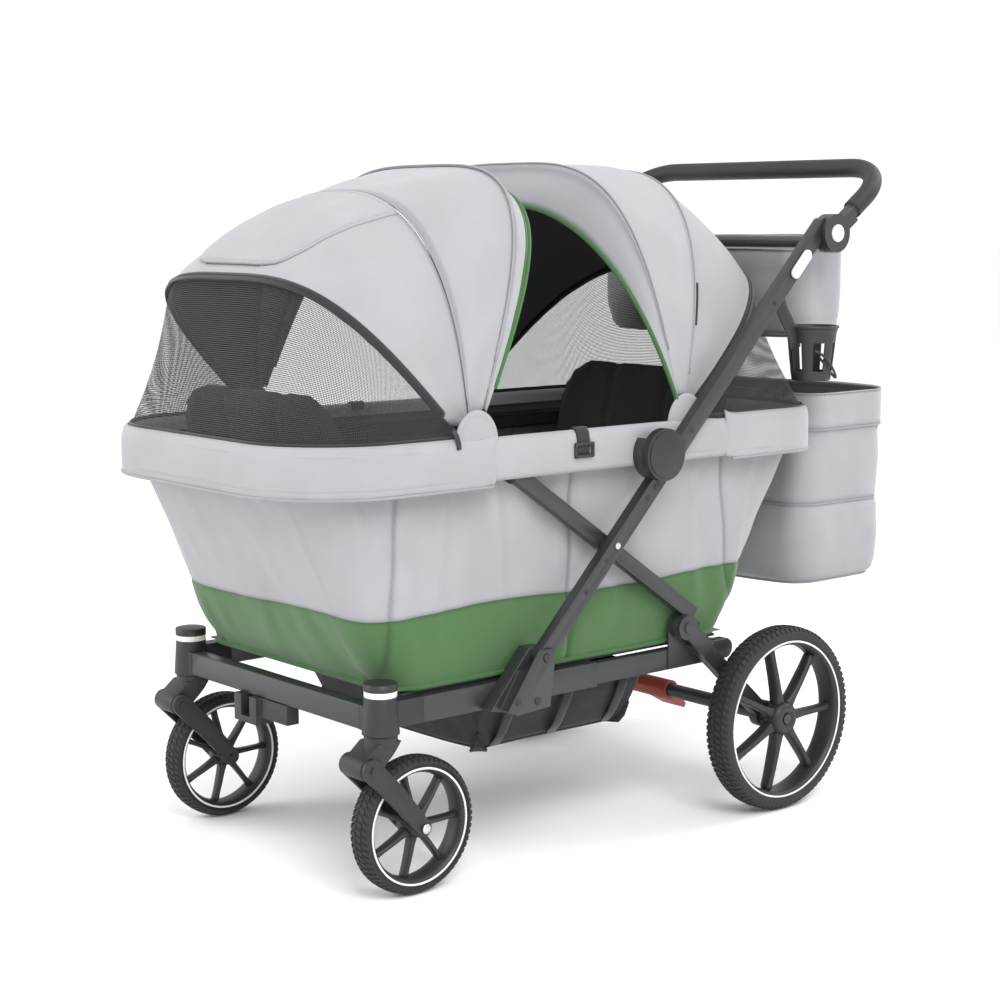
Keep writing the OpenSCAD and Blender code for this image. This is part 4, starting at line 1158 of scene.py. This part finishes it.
def buildBag(which, mats, slot, seams):
    s = bagSpecs[which]
    zs = np.array([z for z, _ in s["levels"]], float)
    ns = np.array([n for _, n in s["levels"]], float)
    levels = np.linspace(zs[0], zs[-1], 54)
    offset = np.interp(levels, zs, ns)
    path = ringPath(s["half"], s["y0"], s["y1"], s["corner"], s["corner"], (22, 12, 30, 12, 22))
    normal = outwardNormals(path)
    rows = np.zeros((len(path), len(levels), 3))
    rows[..., :2] = path[:, None] + normal[:, None] * offset[None, :, None]
    rows[..., 2] = levels[None]
    middle = 1 - (rows[..., 0] / s["half"]) ** 2
    height = (levels - zs[0]) / (zs[-1] - zs[0])
    rows[..., 2] -= s["sag"] * middle * (1 - height)[None] ** 2
    rows[..., 2] += 2.0 * np.sin(rows[..., 0] / 70) * height[None] ** 3
    soft = wrinkle(rows, 6.0, 110.0, (1, 1, 0.7)) + wrinkle(rows, 2.2, 36.0, (1, 1, 0.8), 4.0)
    soft *= np.sin(np.clip(height, 0.05, 0.97) * math.pi)[None] ** 0.5
    rows[..., :2] += normal[:, None] * soft[..., None]
    # Painted shade along each seam.
    seamShade = np.zeros(rows.shape[:2])
    for z in seams:
        seamShade = np.maximum(seamShade, np.exp(-((levels - z) / 3.0) ** 2)[None])
    shell = gridSheet(which + "BagShell", place(rows), mats, closed=True, seamShade=seamShade)
    thicken(shell, 2.5, inner=1, rim=0)
    attach(shell, s["body"], slot, s["node"])
    grid = []
    for f in np.linspace(1, 0, 12):
        ring = rows[:, 0].copy()
        centre = ring.mean(0)
        ring[:, :2] = centre[:2] + (ring[:, :2] - centre[:2]) * f
        ring[:, 2] -= 3 * (1 - f ** 2)
        grid.append(ring)
    base = gridSheet(which + "BagBase", place(np.swapaxes(np.array(grid), 0, 1)), mats, closed=True,
                     centre=place((0, (s["y0"] + s["y1"]) / 2, zs[-1])))
    weld(base)
    thicken(base, 2.5, inner=1)
    attach(base, s["body"], slot)
    piping = []
    for z in list(seams) + [zs[0] + 2, zs[-1] - 1]:
        j = int(np.argmin(np.abs(levels - z)))
        piping.append(tube(which + "Cord", rows[:, j] + np.c_[normal * 0.8, np.zeros(len(path))], 1.7,
                           mats[2], closed=True, sides=8))
    attach(join(which + "BagPiping", piping), s["body"], slot)
    for z in seams:
        j = int(np.argmin(np.abs(levels - z - 6)))
        attach(stitches(f"{which}BagStitches{int(z)}",
                        [rows[:, j] + np.c_[normal * 0.6, np.zeros(len(path))]], closed=True),
               s["body"], slot)


buildBag("rear", [greyCloth, liningCloth, greyTrim], "grey_fabric", [478, 603])
buildBag("console", [greyCloth, liningCloth, greyTrim], "grey_fabric", [908])
buildBag("basket", [blackCloth, blackCloth, zipTape], "dark_fabric", [])
print("bags built")


# Seat pads, swollen by a short cloth simulation.
padSpecs = [("seat_cushions", "seatCushions", "chassis", 8),
            ("front_seat_back", "frontBackPad", "front_seat", 6),
            ("rear_seat_back", "rearBackPad", "rear_seat", 6)]


def buildPad(node, name, body, cap):
    source = frame["nodes"][node]
    mesh = source.data.copy()
    obj = bpy.data.objects.new(name, mesh)
    scene.collection.objects.link(obj)
    weld(obj, 1e-5)
    remesh = obj.modifiers.new("remesh", "REMESH")
    remesh.mode, remesh.voxel_size = "VOXEL", 0.006
    bpy.context.view_layer.update()
    obj = baked(obj, name)
    rest = np.array([v.co for v in obj.data.vertices])
    obj.data.update()
    normals = np.array([v.normal for v in obj.data.vertices])
    rest = rest - normals * cap * 0.0006
    obj.data.vertices.foreach_set("co", rest.astype(np.float32).ravel())
    modifier = obj.modifiers.new("cloth", "CLOTH")
    settings = modifier.settings
    settings.use_pressure, settings.uniform_pressure_force = True, 4
    settings.tension_stiffness = settings.compression_stiffness = 15
    settings.effector_weights.gravity = 0
    for f in range(1, 21):
        scene.frame_set(f)
    grown = obj.evaluated_get(bpy.context.evaluated_depsgraph_get())
    moved = np.array([v.co for v in grown.data.vertices]) - rest
    length = np.linalg.norm(moved, axis=1)[:, None] + 1e-9
    rest = rest + moved * np.minimum(1, cap / 1000 / length)
    obj.modifiers.remove(modifier)
    scene.frame_set(1)
    low, high = rest.min(0), rest.max(0)
    # Sewn channels across the pad.
    for share in (0.34, 0.67):
        for axis in (0,):
            where = low[axis] + (high[axis] - low[axis]) * share
            d = np.abs(rest[:, axis] - where)
            rest -= normals * (0.004 * np.exp(-(d / 0.008) ** 2))[:, None]
    obj.data.vertices.foreach_set("co", rest.astype(np.float32).ravel())
    layer = obj.data.uv_layers.new(name="UVMap")
    loops = np.zeros(len(obj.data.loops), np.int32)
    obj.data.loops.foreach_get("vertex_index", loops)
    co = rest[loops]
    layer.data.foreach_set("uv", np.c_[co[:, 0], co[:, 1] + co[:, 2]].astype(np.float32).ravel())
    obj.data.materials.clear()
    obj.data.materials.append(blackCloth)
    obj.data.shade_smooth()
    sub = obj.modifiers.new("smooth", "SUBSURF")
    sub.levels = sub.render_levels = 1
    attach(obj, body, "dark_fabric", node)


for node, name, body, cap in padSpecs:
    buildPad(node, name, body, cap)
print("pads built")


# Leather grip over the handlebar, sewn along its inner side.
gripSpec = dict(half=296.5, bend=90, radius=15.6, reach=190, tilt=35, y=829.4, z=936.0)


def gripPath(below=0.0):
    s = gripSpec
    pts = [(s["half"], s["reach"] - s["bend"] - d) for d in np.linspace(34, 0, 6, endpoint=False)]
    pts += [(s["half"] - s["bend"] + s["bend"] * math.cos(a),
             s["reach"] - s["bend"] + s["bend"] * math.sin(a))
            for a in np.linspace(0, math.pi / 2, 20, endpoint=False)]
    pts += [(x, s["reach"]) for x in np.linspace(s["half"] - s["bend"], 0, 26)]
    pts = np.array(pts)
    pts = np.concatenate([pts, pts[-2::-1] * [-1, 1]])
    a = math.radians(s["tilt"])
    return np.c_[pts[:, 0], s["y"] + pts[:, 1] * math.cos(a),
                 s["z"] + pts[:, 1] * math.sin(a) - below]


grip = tube("gripLeatherSleeve", gripPath(), gripSpec["radius"], gripLeather, sides=28)
attach(grip, "bar", "grip", "grip")
attach(stitches("gripStitches", [gripPath(15.7)], 4.5, (0.8, 0.8, 3.2), liningCloth), "bar", "grip")


# Fabric covers over the canopy pivots.
coverSpec = dict(radius=43, z=645, x={"front": 288.5, "rear": 285.2})


def buildCovers():
    for which, y in zip(("front", "rear"), pivotYs):
        for side, sign in (("left", 1), ("right", -1)):
            turns = np.linspace(0, 2 * math.pi, 48, endpoint=False)
            rings = []
            for share in np.linspace(0.02, 1, 12):
                r = coverSpec["radius"] * share
                drop = 3.0 * share ** 2 + 1.2 * share ** 10
                rings.append([(sign * (coverSpec["x"][which] - drop), y + r * math.cos(a) * 0.92,
                               coverSpec["z"] + r * math.sin(a) * (1.1 if math.sin(a) > 0 else 0.8))
                               for a in turns])
            pts = np.swapaxes(np.array(rings), 0, 1)
            cover = gridSheet(f"{side}{which.capitalize()}HingeCover", place(pts), [greyCloth], closed=True,
                              centre=place((0, y, 640)))
            bm = bmesh.new()
            bm.from_mesh(cover.data)
            bmesh.ops.holes_fill(bm, edges=[e for e in bm.edges if e.is_boundary and
                                            e.calc_length() < 0.001], sides=0)
            bm.to_mesh(cover.data)
            bm.free()
            thicken(cover, 2.0)
            attach(cover, "top_frame", "grey_fabric")
            inner = pts[:, 9] + np.array((sign * 0.4, 0, 0))
            attach(stitches(f"{side}{which.capitalize()}CoverStitches", [inner], closed=True),
                   "top_frame", "grey_fabric")


buildCovers()


# Webbing strap and buckle over the rim on each side.
clipSpec = dict(y0=276, y1=312, low=614)


def buildClips():
    for side, sign in (("left", 1), ("right", -1)):
        section = [(270, 640), (271, 650), (275, 654.5), (281, 654), (287, 647), (289.6, 634),
                   (289.6, 620), (288.6, clipSpec["low"])]
        pts = np.array([[(sign * x, y, z) for x, z in section]
                        for y in np.linspace(clipSpec["y0"] + 5, clipSpec["y1"] - 5, 8)])
        strap = gridSheet(side + "ClipStrap", place(pts), [zipTape], centre=place((0, 290, 600)))
        thicken(strap, 1.6)
        attach(strap, "top_frame", "dark_fabric")
        frameParts = []
        for z in (clipSpec["low"] - 2, clipSpec["low"] + 16):
            path = [(sign * 291.0, y, z) for y in np.linspace(clipSpec["y0"], clipSpec["y1"], 6)]
            frameParts.append(tube(side + "Buckle", path, 2.6, mouldedBlack, sides=10))
        for y in (clipSpec["y0"] + 1, clipSpec["y1"] - 1):
            path = [(sign * 291.0, y, z) for z in np.linspace(clipSpec["low"] - 2, clipSpec["low"] + 16, 5)]
            frameParts.append(tube(side + "Buckle", path, 2.6, mouldedBlack, sides=10))
        attach(join(side + "ClipBuckle", frameParts), "top_frame", "moulded_black")


buildClips()


# Cup holder: a tapered basket with open windows, hung from the handle tube.
cupSpec = dict(x=285, y=803.4, low=698, high=785, lowR=31, highR=41, wall=2.6)


def buildCupHolder():
    c = cupSpec
    turns = np.linspace(0, 2 * math.pi, 96, endpoint=False)
    levels = np.linspace(c["low"], c["high"], 18)
    rows = []
    for z in levels:
        share = (z - c["low"]) / (c["high"] - c["low"])
        r = c["lowR"] + (c["highR"] - c["lowR"]) * share ** 0.8 + (1.2 if share > 0.9 else 0)
        rows.append([(c["x"] + r * math.cos(a), c["y"] + r * math.sin(a), z) for a in turns])
    pts = np.swapaxes(np.array(rows), 0, 1)
    shell = gridSheet("cupShell", place(pts), [mouldedBlack], closed=True,
                      centre=place((c["x"], c["y"], 740)))
    bm = bmesh.new()
    bm.from_mesh(shell.data)
    gone = []
    for f in bm.faces:
        m = f.calc_center_median()
        a = math.degrees(math.atan2(m.y - (c["y"] / 1000 + axleY), m.x - c["x"] / 1000)) % 60
        height = (m.z * 1000 - c["low"]) / (c["high"] - c["low"])
        if 14 < a < 46 and 0.16 < height < 0.72:
            gone.append(f)
    bmesh.ops.delete(bm, geom=gone, context="FACES")
    bm.to_mesh(shell.data)
    bm.free()
    thicken(shell, c["wall"])
    bevel = shell.modifiers.new("edges", "BEVEL")
    bevel.width, bevel.segments, bevel.limit_method = 0.0007, 2, "ANGLE"
    shell = baked(shell, "cupShell")
    base = [[(c["x"] + r * math.cos(a), c["y"] + r * math.sin(a), c["low"] + h) for r, h in
             ((0.5, 4), (c["lowR"] - 1, 4), (c["lowR"], 2), (c["lowR"] - 2, 0), (0.5, 0), (0.5, 4))]
             for a in turns]
    floor = gridSheet("cupFloor", place(base), [mouldedBlack], closed=True)
    weld(floor)
    arm = [(282.5, 716, 858), (282.5, 722, 838), (283, 734, 812), (284, 748, 790), (285, 759, 772),
           (285, 763, 752)]
    bracket = tube("cupBracket", arm, 13, mouldedBlack, sides=16, flat=0.3, normals=[(1, 0, 0)] * len(arm))
    loop = [(c["x"] + 40 * math.cos(a), c["y"] + 40 * math.sin(a),
             748 - 46 * math.cos((a - 0.9) * 0.9) ** 2) for a in
            np.linspace(-0.75, 2.5, 40)]
    hoop = tube("cupHoop", loop, 2.2, mouldedBlack, sides=8)
    rimLine = [(c["x"] + 42 * math.cos(a), c["y"] + 42 * math.sin(a), c["high"]) for a in turns]
    lip = tube("cupLip", rimLine, 2.4, mouldedBlack, closed=True, sides=10)
    attach(join("cupHolderShaped", [shell, floor, bracket, hoop, lip]), "handle", "moulded_black",
           "cup_holder")


buildCupHolder()


# Straps that hang the basket from the rails.
def buildBasketStraps():
    parts = []
    for sign in (1, -1):
        for y in (205, 320, 436):
            path = [(sign * 231.5, y, 252), (sign * 229, y, 236), (sign * 218, y, 212),
                    (sign * 205, y, 188), (sign * 190, y, 169)]
            parts.append(tube("basketStrap", path, 10, zipTape, sides=12, flat=0.14,
                              normals=[(sign, 0, -0.4)] * 5))
    attach(join("basketStraps", parts), "chassis", "dark_fabric")


buildBasketStraps()


# Domed black caps over the upper half of the pale rings on the caster housings.
capSpec = dict(proud=0.5, rise=2.5, cover=0.55)


def buildCasterCaps():
    trimLow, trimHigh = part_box("housing_trim")
    top, sink = trimHigh.z * 1000, (trimHigh.z - trimLow.z) * 1000 * capSpec["cover"]
    turns = np.linspace(0, 2 * math.pi, 48, endpoint=False)
    for side in ("left", "right"):
        radius = (trimHigh.y - trimLow.y) * 500 + capSpec["proud"]
        x = (trimHigh.x * 1000 - radius + capSpec["proud"]) * (1 if side == "left" else -1)
        y = ((trimLow.y + trimHigh.y) / 2 - axleY) * 1000
        radii = np.r_[0.0, np.linspace(0.1, 0.96, 12), 1.0, 1.0]
        heights = np.r_[capSpec["rise"] * (1 - np.linspace(0.05, 0.96, 13) ** 3), 0.0, -sink]
        rings = [[(x + radius * r * math.cos(a), y + radius * r * math.sin(a), top + h)
                  for a in turns] for r, h in zip(radii, heights)]
        cap = gridSheet(side + "CasterCap", place(np.swapaxes(np.array(rings), 0, 1)), [mouldedBlack],
                        closed=True,
                        centre=place((x, y, top - 40)))
        weld(cap)
        attach(cap, "chassis", "moulded_black")


# Zip pulls at the low ends of the front screen, and the vent slit in the rear canopy's seam.
def buildTrims():
    parts = []
    for sign in (1, -1):
        path = [(sign * 287, 46, 668), (sign * 291, 50, 660), (sign * 293, 53, 648), (sign * 293, 54, 640)]
        parts.append(tube("zipPull", path, 4.2, mouldedBlack, sides=10, flat=0.4,
                          normals=[(sign, 0, 0.2)] * 4))
    attach(join("zipPulls", parts), "top_frame", "bow_black")
    angle, radius, power, half = canopySpec["rear"]["bows"][1]
    slits = []
    for sign in (1, -1):
        t = sign * np.linspace(1.12, 1.3, 16)
        slits.append(tube("ventSlit", bowPoint(canopySpec["rear"], angle + 0.8, radius + 4.2, power,
                                               half + 4.0, t), 2.4, zipTape,
                          sides=8))
    attach(join("ventSlits", slits), "rear_canopy_mid", "dark_fabric")


buildTrims()
buildCasterCaps()


# Small hardware.
armA = math.radians(46)


def alongArm(d, across=0.0):
    return (205 + d * math.cos(armA) - across * math.sin(armA),
            324 + d * math.sin(armA) + across * math.cos(armA))


rivets("armRivets", [(304.6, *alongArm(d)) for d in (300, 322, 180, 120)], 4.2, mouldedBlack, "arm_pair")
rivets("handleRivets", [(304.6, *alongArm(d)) for d in (410, 436, 700)], 4.2, mouldedBlack, "handle")
rivets("bracketRivets", [(309.0, 150, 266), (309.0, 188, 262), (309.0, 205, 324)], 6.0, mouldedBlack,
       "chassis")
for side, sign in (("left", 1), ("right", -1)):
    low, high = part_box(side + "_fork_link")
    face = (high.x if sign > 0 else low.x) * 1000 + sign * 0.5
    nut = [(face, 0, 101)]
    mesh = bpy.data.meshes.new("nut")
    mesh.from_pydata([tuple(p) for p in place(nut)], [], [])
    spot = bpy.data.objects.new("nutSpot", mesh)
    scene.collection.objects.link(spot)
    attach(runTree(spot, rivetTree, side + "AxleNut", Radius=0.0075, Material=zincSteel), side + "_link",
           "bright_steel")
print("hardware built")
